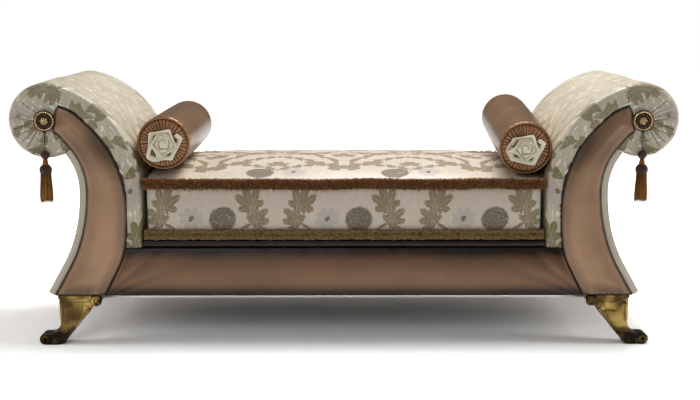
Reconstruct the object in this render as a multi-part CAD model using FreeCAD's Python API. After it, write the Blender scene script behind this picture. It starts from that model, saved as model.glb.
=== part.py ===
import FreeCAD, Part
import math
import os

# Recamier: a backless upholstered bench between two scroll arms.
# Millimetres. X runs along the bench, Y from front to back, Z up.
# The origin is the middle of the bench on the floor.
# Every arm outline is drawn for the right arm, in X and Z, and mirrored to the left one.

os.makedirs("parts", exist_ok=True)

V = FreeCAD.Vector
X_AXIS = V(1, 0, 0)
Y_AXIS = V(0, 1, 0)
Z_AXIS = V(0, 0, 1)
ORIGIN = V(0, 0, 0)

# Heights of the layers of the seat
foot_height = 158.0
rail_height = 148.0
webbing_thickness = 2.0
deck_thickness = 23.0
cushion_side_height = 182.0
cushion_crown = 28.0

# Depths: the arm panels first, then how far the rest stands proud of them
panel_front = 322.0
panel_thickness = 22.0
pad_proud = 12.0
cover_proud = 8.0
foot_proud = 6.0
cushion_proud = 8.0
cord_proud = 28.0
bolster_short = 18.0
rail_thickness = 30.0

# Lengths: the end of the rails first, then how far the rest lies in or out from it
rail_half_length = 790.0
pad_from_rail_end = 180.0
facing_inner_from_rail_end = 64.0
facing_outer_past_rail_end = 91.0
foot_inner_from_rail_end = 52.0
foot_outer_past_rail_end = 78.0

# Lower arm: the line where the satin facing meets the seat side
facing_in_start_angle = 121.0
facing_in_foot_radius = 1200.0
facing_in_foot_angle = 5.0
facing_in_waist_radius = 150.0
facing_in_waist_angle = 16.0
facing_in_hip_radius = 690.0
facing_in_hip_angle = 10.0
facing_in_upright = 20.0
facing_in_sweep_radius = 345.0
facing_in_sweep_angle = 47.0
facing_in_straight = 30.0
facing_in_top_radius = 150.0
facing_in_top_angle = 28.0

# Outer edge of the satin facing
facing_out_start_angle = 119.5
facing_out_straight = 100.0
facing_out_hip_radius = 420.0
facing_out_hip_angle = 14.5
facing_out_waist_radius = 537.0
facing_out_waist_angle = 15.0
facing_out_neck_radius = 200.0
facing_out_neck_angle = 40.0
facing_out_shoulder = 45.0
facing_out_top_radius = 40.0
facing_out_top_angle = 30.0
facing_thickness = 16.0
facing_edge_round = 8.0
facing_end_bulge = 8.0

# Seat side of the arm pad and the roll at its top
pad_upright = 172.0
pad_sweep_radius = 330.0
pad_sweep_angle = 76.0
roll_radius = 111.0
roll_pad_thickness = 23.0
pad_edge_round = 14.0
pad_overlap = 25.0
pleat_count = 22
pleat_width = 5.0
pleat_depth = 3.0
pleat_start = 42.0
pleat_end = 92.0

# Plain cover on the waist of the arm
outer_cover_thickness = 22.0
outer_cover_round = 7.0

# Rail padding
rail_cover_proud = 12.0
rail_cover_swell = 15.0

# Base frame
slat_offset = 250.0
slat_width = 40.0
slat_height = 60.0
slat_drop = 50.0
block_leg = 60.0
block_height = 110.0
web_width = 60.0
web_gap_long = 170.0
web_rows_across = 9
web_rows_along = 3
web_rail_margin = 2.0
dust_cover_thickness = 1.5
dust_cover_margin = 12.0
dust_cover_foot_gap = 6.0
batten_width = 44.0
batten_thickness = 26.0
batten_places = [(2, 0.9, 95.0), (4, 0.15, 86.0), (4, 0.62, 62.0)]
deck_edge_round = 10.0
deck_side_gap = 1.0

# Loose cushion
cushion_end_gap = 12.0
cushion_side_bulge = 5.0
cushion_end_inset = 6.0
cushion_crown_steps = [(1.0, 0.5), (0.97, 0.76), (0.92, 0.93), (0.8, 1.0)]
fringe_height = 32.0
fringe_thickness = 9.0
fringe_top_lift = 4.0
fringe_corner_round = 18.0
fringe_rim_round = 3.6
fringe_bite_end = 3.0
fringe_bite_side = 8.0
seat_gap = 0.3

# Bolsters
bolster_radius = 81.5
bolster_end_round = 6.0
bolster_end_depth = 9.0
bolster_pipe_radius = 3.0
bolster_pipe_bulge = 2.0
bolster_pipe_land = 8.0
bolster_dish_depth = 3.0
bolster_ridge = 1.0
bolster_lip_share = 0.7
bolster_lip_back_share = 0.3
bolster_forward = 4.0
bolster_left_in = 67.0
bolster_left_rise_angle = 0.0
bolster_left_turn_angle = 0.0
bolster_right_in = 54.4
bolster_right_rise_angle = 3.75
bolster_right_turn_angle = -1.4
settle_start = 120.0
settle_count = 12
ruche_count = 30
ruche_width = 3.2
ruche_depth = 2.6
ruche_rim = 6.0
ruche_start_share = 0.55
rose_radius = 47.0
rose_height = 20.0
rose_petal = 4.0
rose_seat_height = 5.0
rose_seat_share = 0.48
rose_seat_spread_share = 0.6
rose_sink = 2.0
rose_waist_share = 0.55
rose_open_angle = 300.0
rose_cups = [(1.0, 0.62, 20.0), (0.72, 0.82, 140.0), (0.45, 1.0, 260.0)]

# Rosettes and tassels
rosette_radius = 32.0
rosette_thickness = 8.0
rosette_stand_off = 4.6
rosette_boss_radius = 15.0
rosette_ring_radius = 29.0
rosette_rim_round = 3.0
bead_count = 24
bead_radius = 3.4
bead_rise = 3.0
bead_sink = 0.5
knot_radius = 18.0
knot_rise = 6.0
cord_diameter = 3.0
cord_length = 50.5
eye_radius = 4.5
eye_stem_radius = 2.0
mould_length = 68.5
ball_radius = 13.5
neck_radius = 7.5
neck_spread = 2.5
head_radius = 18.5
head_lip = 1.0
skirt_length = 91.0
skirt_top_radius = 16.5
skirt_radius = 20.0
skirt_shoulder_share = 0.3
strand_count = 14
strand_swell = 1.4

# Feet
foot_depth = 66.0
foot_toe_depth = 46.0
foot_moulding_height = 10.0
foot_moulding_rise = 3.0
foot_moulding_inset = 32.0
foot_ankle_height = 88.0
foot_instep_in = 7.0
foot_instep_height = 52.0
foot_knee_in = 38.0
foot_knee_drop = 48.0
foot_ear_in = 6.0
foot_ear_drop = 22.0
foot_sole_start = 30.0
toe_reach = 50.0
toe_radius = 17.5
heel_in = 15.0
heel_rise = 14.0
heel_bulge_share = 0.4
heel_lift_share = 0.3
foot_panel_depth = 3.0
foot_panel_margin = 7.0
foot_panel_top_drop = 18.0
foot_bead_radius = 4.5
foot_hollow_in = 2.0
foot_hollow_up = 4.0
foot_lobe_out = 2.0
foot_lobe_down = 1.0
foot_bead_taper_share = 0.7
foot_leaf_share = 0.7
toe_eye_share = 0.35
toe_boss_rise = 4.0
carve_round = 2.5
scroll_ring_radius = 13.0
scroll_ring_wire = 4.0
bolt_diameter = 8.0
bolt_clearance = 0.3
bolt_in_foot = 24.0
bolt_in_rail = 34.0
bolt_inset = 15.0
bolt_hole_spare = 2.0

# How far a cutter reaches past what it cuts, and how near two places are to count as one
cut_over = 1.0
same_place = 0.1

# Places worked out from the sizes
pad_front = panel_front + pad_proud
cover_front = panel_front + cover_proud
foot_front = panel_front + foot_proud
cord_depth = panel_front + cord_proud
cushion_half_depth = panel_front + cushion_proud
bolster_half_length = panel_front - bolster_short
rail_cover_edge = panel_front + rail_cover_proud
rail_cover_crown = rail_cover_edge + rail_cover_swell
pad_inner_face = rail_half_length - pad_from_rail_end
cushion_half_length = pad_inner_face - cushion_end_gap
facing_bottom_in = rail_half_length - facing_inner_from_rail_end
facing_bottom_out = rail_half_length + facing_outer_past_rail_end
foot_inner = rail_half_length - foot_inner_from_rail_end
foot_outer = rail_half_length + foot_outer_past_rail_end
toe_centre_out = foot_outer + toe_reach
heel_out = foot_outer - heel_in
rail_top = foot_height + rail_height
web_top = rail_top + webbing_thickness
deck_top = web_top + deck_thickness
cushion_bottom = deck_top + seat_gap
cushion_edge_top = cushion_bottom + cushion_side_height
rail_front = panel_front - panel_thickness
rail_back = rail_front - rail_thickness
facing_in_moves = [
    (facing_in_foot_radius, facing_in_foot_angle),
    (facing_in_waist_radius, facing_in_waist_angle),
    (facing_in_hip_radius, facing_in_hip_angle),
    facing_in_upright,
    (facing_in_sweep_radius, facing_in_sweep_angle),
    facing_in_straight,
    (facing_in_top_radius, facing_in_top_angle),
]
facing_out_moves = [
    facing_out_straight,
    (facing_out_hip_radius, facing_out_hip_angle),
    (facing_out_waist_radius, facing_out_waist_angle),
    (facing_out_neck_radius, facing_out_neck_angle),
    facing_out_shoulder,
    (facing_out_top_radius, facing_out_top_angle),
]


def point(across, up, depth=0.0):
    """A point from its X, its height and its depth."""
    return V(across, depth, up)


def chain(across, up, heading, moves, offset=0.0):
    """Lines and arcs, each tangent to the last, drawn from a start and a heading in degrees.

    A move is a length, or a radius and the degrees it turns clockwise.
    An offset to the right of the path is the same chain, parallel to itself.
    """
    edges = []
    angle = math.radians(heading)
    here = point(across + offset * math.sin(angle), up - offset * math.cos(angle))
    for move in moves:
        if isinstance(move, tuple):
            radius = move[0] - offset
            turn = math.radians(move[1])
            centre = here + point(radius * math.sin(angle), -radius * math.cos(angle))
            middle = angle - turn / 2
            last = angle - turn
            through = centre + point(-radius * math.sin(middle), radius * math.cos(middle))
            end = centre + point(-radius * math.sin(last), radius * math.cos(last))
            edges.append(Part.Arc(here, through, end).toShape())
            angle = last
        else:
            end = here + point(move * math.cos(angle), move * math.sin(angle))
            edges.append(Part.makeLine(here, end))
        here = end
    return edges, here, angle


def start_of(edges):
    return edges[0].valueAt(edges[0].FirstParameter)


def face_of(edges):
    """A flat face from edges that close a loop."""
    return Part.Face(Part.Wire(Part.__sortEdges__(edges)))


def polygon(points):
    return Part.Face(Part.makePolygon(points + [points[0]]))


def slab(face, near, far):
    """A face in the plane Y = 0 drawn out between two depths."""
    moved = face.copy()
    moved.translate(V(0, near, 0))
    return moved.extrude(V(0, far - near, 0))


def box(x_low, x_high, y_low, y_high, z_low, z_high):
    return Part.makeBox(x_high - x_low, y_high - y_low, z_high - z_low, V(x_low, y_low, z_low))


def mirror_x(shape):
    return shape.mirror(ORIGIN, X_AXIS)


def mirror_y(shape):
    return shape.mirror(ORIGIN, Y_AXIS)


def join(shapes):
    return shapes[0].multiFuse(shapes[1:]).removeSplitter()


def save(name, shape):
    print(name, "solids", len(shape.Solids), "valid", shape.isValid(), "volume", round(shape.Volume))
    shape.exportStep("parts/" + name + ".step")


def save_pair(name, right):
    """The right-hand piece and its mirror image."""
    save("right_" + name, right)
    save("left_" + name, mirror_x(right))


# The outlines of the arm

def facing_inner_line(offset=0.0, from_seat=False):
    """The seat side of the facing, from the foot to the roll."""
    edges, end, angle = chain(facing_bottom_in, foot_height, facing_in_start_angle, facing_in_moves, offset)
    return (edges[2:] if from_seat else edges), end


def facing_outer_line(offset=0.0):
    """The waist side of the facing, from the foot to the roll."""
    edges, end, angle = chain(facing_bottom_out, foot_height, facing_out_start_angle,
                              facing_out_moves, offset)
    return edges, end


def facing_outline():
    inner, inner_end = facing_inner_line()
    outer, outer_end = facing_outer_line()
    middle = (inner_end + outer_end) * 0.5 + point(facing_end_bulge, 0)
    cap = Part.Arc(inner_end, middle, outer_end).toShape()
    sole = Part.makeLine(start_of(inner), start_of(outer))
    return face_of(inner + outer + [cap, sole])


def pad_line():
    """The seat side of the pad, up over the arm to where the roll begins."""
    moves = [pad_upright, (pad_sweep_radius, pad_sweep_angle)]
    return chain(pad_inner_face, web_top, 90.0, moves)


pad_edges, pad_end, pad_heading = pad_line()
roll_centre = pad_end + point(roll_radius * math.sin(pad_heading), -roll_radius * math.cos(pad_heading))


def roll_disc(radius):
    circle = Part.makeCircle(radius, roll_centre, Y_AXIS)
    return Part.Face(Part.Wire([circle]))


facing_face = facing_outline()


def pad_blank():
    """The pad before the frame is taken out of it: the flank of the arm and its roll."""
    hidden, hidden_end = facing_inner_line(pad_overlap, from_seat=True)
    hidden_start = start_of(hidden)
    corner = point(pad_inner_face, hidden_start.z)
    flank = pad_edges + hidden
    flank.append(Part.makeLine(pad_end, roll_centre))
    flank.append(Part.makeLine(roll_centre, hidden_end))
    flank.append(Part.makeLine(hidden_start, corner))
    flank.append(Part.makeLine(corner, start_of(pad_edges)))
    blank = join([slab(face_of(flank), -pad_front, pad_front),
                  slab(roll_disc(roll_radius), -pad_front, pad_front)])
    below = box(pad_inner_face - cut_over, roll_centre.x, -pad_front - cut_over, pad_front + cut_over,
                0.0, web_top)
    return blank.cut(below)


# Arm frame: two plywood panels, the battens between them and the foam and fabric round them

def arm_core(near, far):
    """The facing's shape and the round head that carries the roll, between two depths."""
    return join([slab(facing_face, near, far),
                 slab(roll_disc(roll_radius - roll_pad_thickness), near, far)])


def arm_panel():
    return arm_core(-panel_front, -rail_front)


def batten(middle, turn):
    """One batten from panel to panel, turned to lie along the arm."""
    bar = box(-batten_width / 2, batten_width / 2, -rail_front, rail_front,
              -batten_thickness / 2, batten_thickness / 2)
    bar.rotate(ORIGIN, Y_AXIS, -turn)
    bar.translate(middle)
    return bar


def arm_battens():
    """Battens a third of the way up, at the waist, under the shoulder and in the roll."""
    bars = []
    inner, end = facing_inner_line(batten_thickness)
    for index, share, turn in batten_places:
        edge = inner[index]
        span = edge.LastParameter - edge.FirstParameter
        bars.append(batten(edge.valueAt(edge.FirstParameter + share * span), turn))
    bars.append(batten(roll_centre, 0.0))
    return Part.makeCompound(bars)


def roll_pleats():
    """Narrow grooves where the fabric is gathered towards the rosette."""
    cutters = []
    for index in range(pleat_count):
        tip = point(pleat_start, 0, -pad_front + pleat_depth)
        left = point(pleat_end, -pleat_width / 2, -pad_front - cut_over)
        right = point(pleat_end, pleat_width / 2, -pad_front - cut_over)
        root = point(pleat_end, 0, -pad_front + pleat_depth)
        near = point(pleat_start, 0, -pad_front - cut_over)
        faces = [polygon([near, left, right]), polygon([tip, root, left]),
                 polygon([tip, left, near]), polygon([tip, right, root]),
                 polygon([tip, near, right]), polygon([left, root, right])]
        wedge = Part.makeSolid(Part.makeShell(faces))
        wedge.rotate(ORIGIN, Y_AXIS, 360.0 * (index + 0.5) / pleat_count)
        wedge.translate(roll_centre)
        cutters.append(wedge)
    return cutters


def arm_pad():
    blank = pad_blank()
    rim = []
    for edge in blank.Edges:
        box_of = edge.BoundBox
        flat = abs(abs(box_of.YMin) - pad_front) < same_place and box_of.YLength < same_place
        outward = all(on_rim(vertex.Point) for vertex in edge.Vertexes)
        if flat and outward and edge.Length > cut_over and on_rim(edge.valueAt(middle_of(edge))):
            rim.append(edge)
    blank = blank.makeFillet(pad_edge_round, rim)
    pad = blank.cut(arm_core(-panel_front, panel_front))
    reach = pad_front + facing_thickness
    pad = pad.cut(slab(facing_face, -reach, reach))
    pad = pad.cut(outer_cover_blank())
    grooves = roll_pleats()
    pad = pad.cut(grooves + [mirror_y(groove) for groove in grooves])
    return pad


def middle_of(edge):
    return (edge.FirstParameter + edge.LastParameter) / 2


def on_rim(spot):
    """Whether a point lies on the padded outside of the arm."""
    flat_spot = point(spot.x, spot.z)
    off_roll = abs(flat_spot.distanceToPoint(roll_centre) - roll_radius) < same_place
    off_flank = any(Part.Vertex(flat_spot).distToShape(edge)[0] < same_place for edge in pad_edges)
    return off_roll or off_flank


def outer_cover_blank():
    near, near_end = facing_outer_line()
    far, far_end = facing_outer_line(outer_cover_thickness)
    sole = Part.makeLine(start_of(near), start_of(far))
    top = Part.makeLine(near_end, far_end)
    band = slab(face_of(near + far + [sole, top]), -cover_front, cover_front)
    return band.cut(slab(roll_disc(roll_radius), -cover_front - cut_over, cover_front + cut_over))


def outer_cover():
    cover = outer_cover_blank()
    far = facing_outer_line(outer_cover_thickness)[0]
    rim = []
    for edge in cover.Edges:
        bounds = edge.BoundBox
        spot = edge.valueAt(middle_of(edge))
        flat = bounds.YLength < same_place
        outside = min(Part.Vertex(point(spot.x, spot.z)).distToShape(line)[0] for line in far) < same_place
        if flat and outside:
            rim.append(edge)
    return cover.makeFillet(outer_cover_round, rim)


def satin_facing():
    """The padded satin face of the arm, its rim rounded all the way."""
    facing = slab(facing_face, -panel_front, -panel_front - facing_thickness)
    rim = [edge for edge in facing.Edges
           if abs(edge.BoundBox.YMax + panel_front + facing_thickness) < same_place]
    return facing.makeFillet(facing_edge_round, rim)


# Base frame

def rail():
    """The front rail with the two holes for the foot bolts."""
    bar = box(-rail_half_length, rail_half_length, -rail_front, -rail_back, foot_height, rail_top)
    hole_radius = bolt_diameter / 2 + bolt_clearance
    for side in (-1, 1):
        spot = V(side * (rail_half_length - bolt_inset), -rail_front + rail_thickness / 2, foot_height)
        bar = bar.cut(Part.makeCylinder(hole_radius, bolt_in_rail + bolt_hole_spare, spot, Z_AXIS))
    return bar


def end_rail():
    return box(rail_half_length - rail_thickness, rail_half_length, -rail_back, rail_back,
               foot_height, rail_top)


def corner_block():
    inner_x = rail_half_length - rail_thickness
    base = foot_height + (rail_height - block_height) / 2
    corners = [V(inner_x, -rail_back, base), V(inner_x - block_leg, -rail_back, base),
               V(inner_x, -rail_back + block_leg, base)]
    return polygon(corners).extrude(V(0, 0, block_height))


def cross_slat():
    top = rail_top - slat_drop
    return box(slat_offset - slat_width / 2, slat_offset + slat_width / 2, -rail_back, rail_back,
               top - slat_height, top)


def seat_webbing():
    """Woven bands on top of the rails."""
    half = webbing_thickness / 2
    reach_x = rail_half_length
    reach_y = rail_front - web_rail_margin
    bands = []
    pitch_across = 2 * (pad_inner_face - web_width) / (web_rows_across - 1)
    for row in range(web_rows_across):
        middle = -pad_inner_face + web_width + row * pitch_across
        bands.append(box(middle - web_width / 2, middle + web_width / 2, -reach_y, reach_y,
                         rail_top + half, web_top))
    for row in range(web_rows_along):
        middle = (row - (web_rows_along - 1) / 2) * web_gap_long
        bands.append(box(-reach_x, reach_x, middle - web_width / 2, middle + web_width / 2,
                         rail_top, rail_top + half))
    return join(bands)


def deck_pad():
    reach_x = pad_inner_face - deck_side_gap
    pad = box(-reach_x, reach_x, -cover_front, cover_front, web_top, deck_top)
    rim = [edge for edge in pad.Edges
           if edge.BoundBox.XLength > reach_x and edge.BoundBox.ZMax > deck_top - same_place]
    return pad.makeFillet(deck_edge_round, rim)


def dust_cover():
    reach_x = foot_inner - dust_cover_foot_gap
    reach_y = rail_front - dust_cover_margin
    return box(-reach_x, reach_x, -reach_y, reach_y, foot_height - dust_cover_thickness, foot_height)


def rail_cover():
    """The padded satin front of the rail, between the two facings, crowned from top to bottom."""
    top = web_top
    low = V(0, -rail_cover_edge, foot_height)
    high = V(0, -rail_cover_edge, top)
    crown = V(0, -rail_cover_crown, (foot_height + top) / 2)
    section = [Part.Arc(low, crown, high).toShape(),
               Part.makeLine(high, V(0, -rail_front, top)),
               Part.makeLine(V(0, -rail_front, top), V(0, -rail_front, foot_height)),
               Part.makeLine(V(0, -rail_front, foot_height), low)]
    reach = facing_bottom_in
    profile = face_of(section)
    profile.translate(V(-reach, 0, 0))
    bar = profile.extrude(V(2 * reach, 0, 0))
    thick = slab(facing_face, -rail_cover_crown - cut_over, -rail_front + cut_over)
    bar = bar.cut([thick, mirror_x(thick)])
    return max(bar.Solids, key=lambda solid: solid.Volume)


# Feet

def foot_outline():
    """Front view: upright outer edge, scrolled toe, heel and a long slanting inner edge."""
    top = foot_height
    toe = point(toe_centre_out, toe_radius)
    ankle = point(foot_outer, foot_ankle_height)
    instep = point(toe_centre_out - toe_radius, 2 * toe_radius)
    toe_top = point(toe_centre_out, 2 * toe_radius)
    toe_tip = point(toe_centre_out + toe_radius, toe_radius)
    toe_sole = point(toe_centre_out, 0)
    heel = point(heel_out, heel_rise)
    sole_end = point(heel_out + foot_sole_start, 0)
    heel_bulge = point(heel_out + foot_sole_start * heel_bulge_share, heel_rise * heel_lift_share)
    knee = point(foot_inner + foot_knee_in, foot_height - foot_knee_drop)
    ear = point(foot_inner + foot_ear_in, foot_height - foot_ear_drop)
    hollow = (knee + ear) * 0.5 + point(foot_hollow_in, foot_hollow_up)
    lobe = (ear + point(foot_inner, foot_height)) * 0.5 - point(foot_lobe_out, foot_lobe_down)
    edges = [
        Part.makeLine(point(foot_outer, top), ankle),
        Part.Arc(ankle, point(foot_outer + foot_instep_in, foot_instep_height), instep).toShape(),
        Part.makeLine(instep, toe_top),
        Part.Arc(toe_top, toe_tip, toe_sole).toShape(),
        Part.makeLine(toe_sole, sole_end),
        Part.Arc(sole_end, heel_bulge, heel).toShape(),
        Part.makeLine(heel, knee),
        Part.Arc(knee, hollow, ear).toShape(),
        Part.Arc(ear, lobe, point(foot_inner, top)).toShape(),
        Part.makeLine(point(foot_inner, top), point(foot_outer, top)),
    ]
    return face_of(edges)


def foot():
    """One carved foot: the sawn profile, tapered from the side, then its panel and scrolls."""
    back = -foot_front + foot_depth
    middle = -foot_front + foot_depth / 2
    block = slab(foot_outline(), -foot_front, back)
    flank = [V(0, -foot_front, foot_height), V(0, -foot_front, foot_ankle_height),
             V(0, middle - foot_toe_depth / 2, 2 * toe_radius), V(0, middle - foot_toe_depth / 2, 0),
             V(0, middle + foot_toe_depth / 2, 0), V(0, middle + foot_toe_depth / 2, 2 * toe_radius),
             V(0, back, foot_ankle_height), V(0, back, foot_height)]
    taper = polygon(flank)
    taper.translate(V(foot_inner - foot_depth, 0, 0))
    block = block.common(taper.extrude(V(toe_centre_out + toe_radius - foot_inner + 2 * foot_depth, 0, 0)))

    # The sunk panel on the face, with a raised bead along its slanting side
    panel_top = foot_height - foot_panel_top_drop
    panel_side = foot_outer - foot_panel_margin
    panel = polygon([point(panel_side, panel_top), point(panel_side, foot_instep_height),
                     point(panel_side - 2 * foot_panel_margin, 2 * toe_radius),
                     point(foot_inner + foot_knee_in + 4 * foot_panel_margin, panel_top - foot_knee_drop),
                     point(foot_inner + foot_knee_in + 2 * foot_panel_margin, panel_top)])
    block = block.cut(slab(panel, -foot_front - cut_over, -foot_front + foot_panel_depth))
    heel_side = middle - foot_toe_depth / 2
    bead_start = point(heel_out, heel_rise + 2 * foot_bead_radius, heel_side)
    bead_end = point(foot_inner + foot_knee_in, foot_height - foot_knee_drop + foot_bead_radius, -foot_front)
    bead_run = bead_end - bead_start
    bead = Part.makeCone(foot_bead_radius * foot_bead_taper_share, foot_bead_radius, bead_run.Length,
                         bead_start, bead_run)

    # Straight moulding under the arm
    moulding = box(foot_inner + foot_moulding_inset, foot_outer + foot_moulding_rise,
                   -foot_front - foot_moulding_rise, back + foot_moulding_rise,
                   foot_height - foot_moulding_height, foot_height)
    moulding = moulding.makeFillet(carve_round, [edge for edge in moulding.Edges
                                         if edge.BoundBox.ZMax < foot_height - cut_over])

    # C-scroll at the inner top corner and a small one below it
    ring_reach = scroll_ring_radius + scroll_ring_wire
    ring_spot = point(foot_inner + ring_reach, foot_height - ring_reach, -foot_front)
    ring = Part.makeTorus(scroll_ring_radius, scroll_ring_wire, ring_spot, Y_AXIS)
    leaf_radius = scroll_ring_radius * foot_leaf_share
    leaf_spot = ring_spot + point(ring_reach + leaf_radius, -ring_reach * foot_leaf_share)
    leaf = Part.makeTorus(leaf_radius, scroll_ring_wire * foot_leaf_share, leaf_spot, Y_AXIS)

    # Volute of the toe: a boss with a hollow eye on both sides
    boss_reach = foot_toe_depth / 2 + toe_boss_rise
    boss = Part.makeCylinder(toe_radius - toe_boss_rise, 2 * boss_reach,
                             point(toe_centre_out, toe_radius, middle - boss_reach), Y_AXIS)
    boss = boss.makeFillet(carve_round, [edge for edge in boss.Edges if edge.BoundBox.YLength < same_place])
    eyes = [Part.makeSphere(toe_radius * toe_eye_share,
                            point(toe_centre_out, toe_radius, middle + side * boss_reach))
            for side in (-1, 1)]
    carved = join([block, bead, moulding, ring, leaf, boss]).cut(eyes)
    hole_spot = V(rail_half_length - bolt_inset, -rail_front + rail_thickness / 2, foot_height)
    hole_depth = bolt_in_foot + bolt_hole_spare
    hole_radius = bolt_diameter / 2 + bolt_clearance
    return carved.cut(Part.makeCylinder(hole_radius, hole_depth, hole_spot, Z_AXIS * -1))


def foot_bolts():
    bolts = []
    for side_x in (-1, 1):
        for side_y in (-1, 1):
            spot = V(side_x * (rail_half_length - bolt_inset), side_y * (rail_front - rail_thickness / 2),
                     foot_height - bolt_in_foot)
            bolts.append(Part.makeCylinder(bolt_diameter / 2, bolt_in_foot + bolt_in_rail, spot, Z_AXIS))
    return Part.makeCompound(bolts)


# Loose cushion

def cushion_section(station, half_depth, crown):
    """Flat underside, slightly full sides and a crowned top."""
    low = cushion_bottom
    high = cushion_edge_top
    middle = (low + high) / 2
    edges = [
        Part.makeLine(V(station, -half_depth, low), V(station, half_depth, low)),
        Part.Arc(V(station, half_depth, low), V(station, half_depth + cushion_side_bulge, middle),
                 V(station, half_depth, high)).toShape(),
        Part.Arc(V(station, half_depth, high), V(station, 0, high + crown),
                 V(station, -half_depth, high)).toShape(),
        Part.Arc(V(station, -half_depth, high), V(station, -half_depth - cushion_side_bulge, middle),
                 V(station, -half_depth, low)).toShape(),
    ]
    return Part.Wire(edges)


def seat_cushion():
    """A boxed cushion lofted along its length, lower and narrower where the ends draw it in."""
    inner_depth = cushion_half_depth - cushion_side_bulge
    wires = []
    for side in (-1, 1):
        for share, crown in cushion_crown_steps[::-side]:
            inset = cushion_end_inset if share == 1.0 else 0.0
            wires.append(cushion_section(side * share * cushion_half_length, inner_depth - inset,
                                         crown * cushion_crown))
    return Part.makeLoft(wires, True, True)


def fringe(low):
    """A brush fringe all round the cushion, following its full sides."""
    half_x = cushion_half_length + fringe_thickness
    half_y = cushion_half_depth + fringe_thickness
    ring = box(-half_x, half_x, -half_y, half_y, low, low + fringe_height)
    upright = [edge for edge in ring.Edges if edge.BoundBox.ZLength > fringe_height - same_place]
    ring = ring.makeFillet(fringe_corner_round, upright)
    rims = [edge for edge in ring.Edges if edge.BoundBox.ZLength < same_place]
    ring = ring.makeFillet(fringe_rim_round, rims)
    inner_x = cushion_half_length - fringe_bite_end
    inner_y = cushion_half_depth - fringe_bite_side
    hollow = box(-inner_x, inner_x, -inner_y, inner_y, low - cut_over, low + fringe_height + cut_over)
    return ring.cut(hollow).cut(cushion_shape)


# Bolsters

def place_bolster(shape, side, spot):
    """Lay a bolster piece, drawn along Y about the origin, at its place on the seat."""
    rise = bolster_right_rise_angle if side > 0 else bolster_left_rise_angle
    turn = bolster_right_turn_angle if side > 0 else bolster_left_turn_angle
    placed = shape.copy()
    placed.rotate(ORIGIN, X_AXIS, rise)
    placed.rotate(ORIGIN, Z_AXIS, turn)
    placed.translate(spot)
    return placed


def approach(body, side, spot, support, way):
    """Move a bolster along a way until only the seat gap is left between it and its support."""
    for step in range(settle_count):
        gap = place_bolster(body, side, spot).distToShape(support)[0]
        spot = spot + way * (gap - seat_gap)
    return spot


def bolster_spot(body, side, cushion, pad):
    """Where a bolster comes to rest: down on the cushion, the right one also against the arm."""
    inset = bolster_right_in if side > 0 else bolster_left_in
    start = V(side * (pad_inner_face - inset), -bolster_forward,
              cushion_edge_top + cushion_crown + bolster_radius + settle_start)
    spot = approach(body, side, start, cushion, Z_AXIS * -1)
    if side > 0:
        spot = approach(body, side, spot, pad, X_AXIS)
        spot = approach(body, side, spot, cushion, Z_AXIS * -1)
    return spot


def bolster_body():
    """A round roll, drawn in at both ends under a piped edge."""
    half = bolster_half_length - bolster_end_depth
    edge = bolster_radius - bolster_end_round
    ridge = bolster_radius - bolster_ridge
    lip = edge + bolster_end_round * bolster_lip_share
    lip_at = half - bolster_end_round * bolster_lip_back_share
    ridge_at = half - bolster_end_round
    outline = [
        Part.makeLine(V(0, -half, 0), V(edge, -half, 0)),
        Part.Arc(V(edge, -half, 0), V(lip, -lip_at, 0), V(ridge, -ridge_at, 0)).toShape(),
        Part.Arc(V(ridge, -ridge_at, 0), V(bolster_radius, 0, 0), V(ridge, ridge_at, 0)).toShape(),
        Part.Arc(V(ridge, ridge_at, 0), V(lip, lip_at, 0), V(edge, half, 0)).toShape(),
        Part.makeLine(V(edge, half, 0), V(0, half, 0)),
        Part.makeLine(V(0, half, 0), V(0, -half, 0)),
    ]
    return face_of(outline).revolve(ORIGIN, Y_AXIS, 360)


def bolster_end():
    """A ruched end: piping at the rim, then pleats running in to a hollow under the rose."""
    base = -(bolster_half_length - bolster_end_depth)
    rim = bolster_radius - bolster_end_round
    pipe_front = base - 2 * bolster_pipe_radius
    land = rim - bolster_pipe_land
    brow = base - bolster_end_depth
    dish_edge = rose_radius / 2
    dish = base - bolster_dish_depth
    outline = [
        Part.makeLine(V(0, base, 0), V(rim, base, 0)),
        Part.Arc(V(rim, base, 0), V(rim + bolster_pipe_bulge, base - bolster_pipe_radius, 0),
                 V(rim - bolster_pipe_bulge, pipe_front, 0)).toShape(),
        Part.makeLine(V(rim - bolster_pipe_bulge, pipe_front, 0), V(land, brow, 0)),
        Part.makeLine(V(land, brow, 0), V(dish_edge, dish, 0)),
        Part.makeLine(V(dish_edge, dish, 0), V(0, dish, 0)),
        Part.makeLine(V(0, dish, 0), V(0, base, 0)),
    ]
    cap = face_of(outline).revolve(ORIGIN, Y_AXIS, 360)
    outer = rim - ruche_rim
    start = rose_radius * ruche_start_share
    front = brow - cut_over
    cutters = []
    for index in range(ruche_count):
        root_out = V(outer, brow + ruche_depth, 0)
        root_in = V(start, dish, 0)
        lid = [V(outer, front, -ruche_width / 2), V(outer, front, ruche_width / 2),
               V(start, front, ruche_width / 4), V(start, front, -ruche_width / 4)]
        faces = [polygon(lid), polygon([lid[0], root_out, lid[1]]), polygon([lid[2], root_in, lid[3]])]
        faces += [polygon([lid[1], root_out, root_in]), polygon([lid[1], root_in, lid[2]])]
        faces += [polygon([lid[0], root_in, root_out]), polygon([lid[0], lid[3], root_in])]
        wedge = Part.makeSolid(Part.makeShell(faces))
        wedge.rotate(ORIGIN, Y_AXIS, 360.0 * index / ruche_count)
        cutters.append(wedge)
    return cap.cut(cutters)


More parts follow.
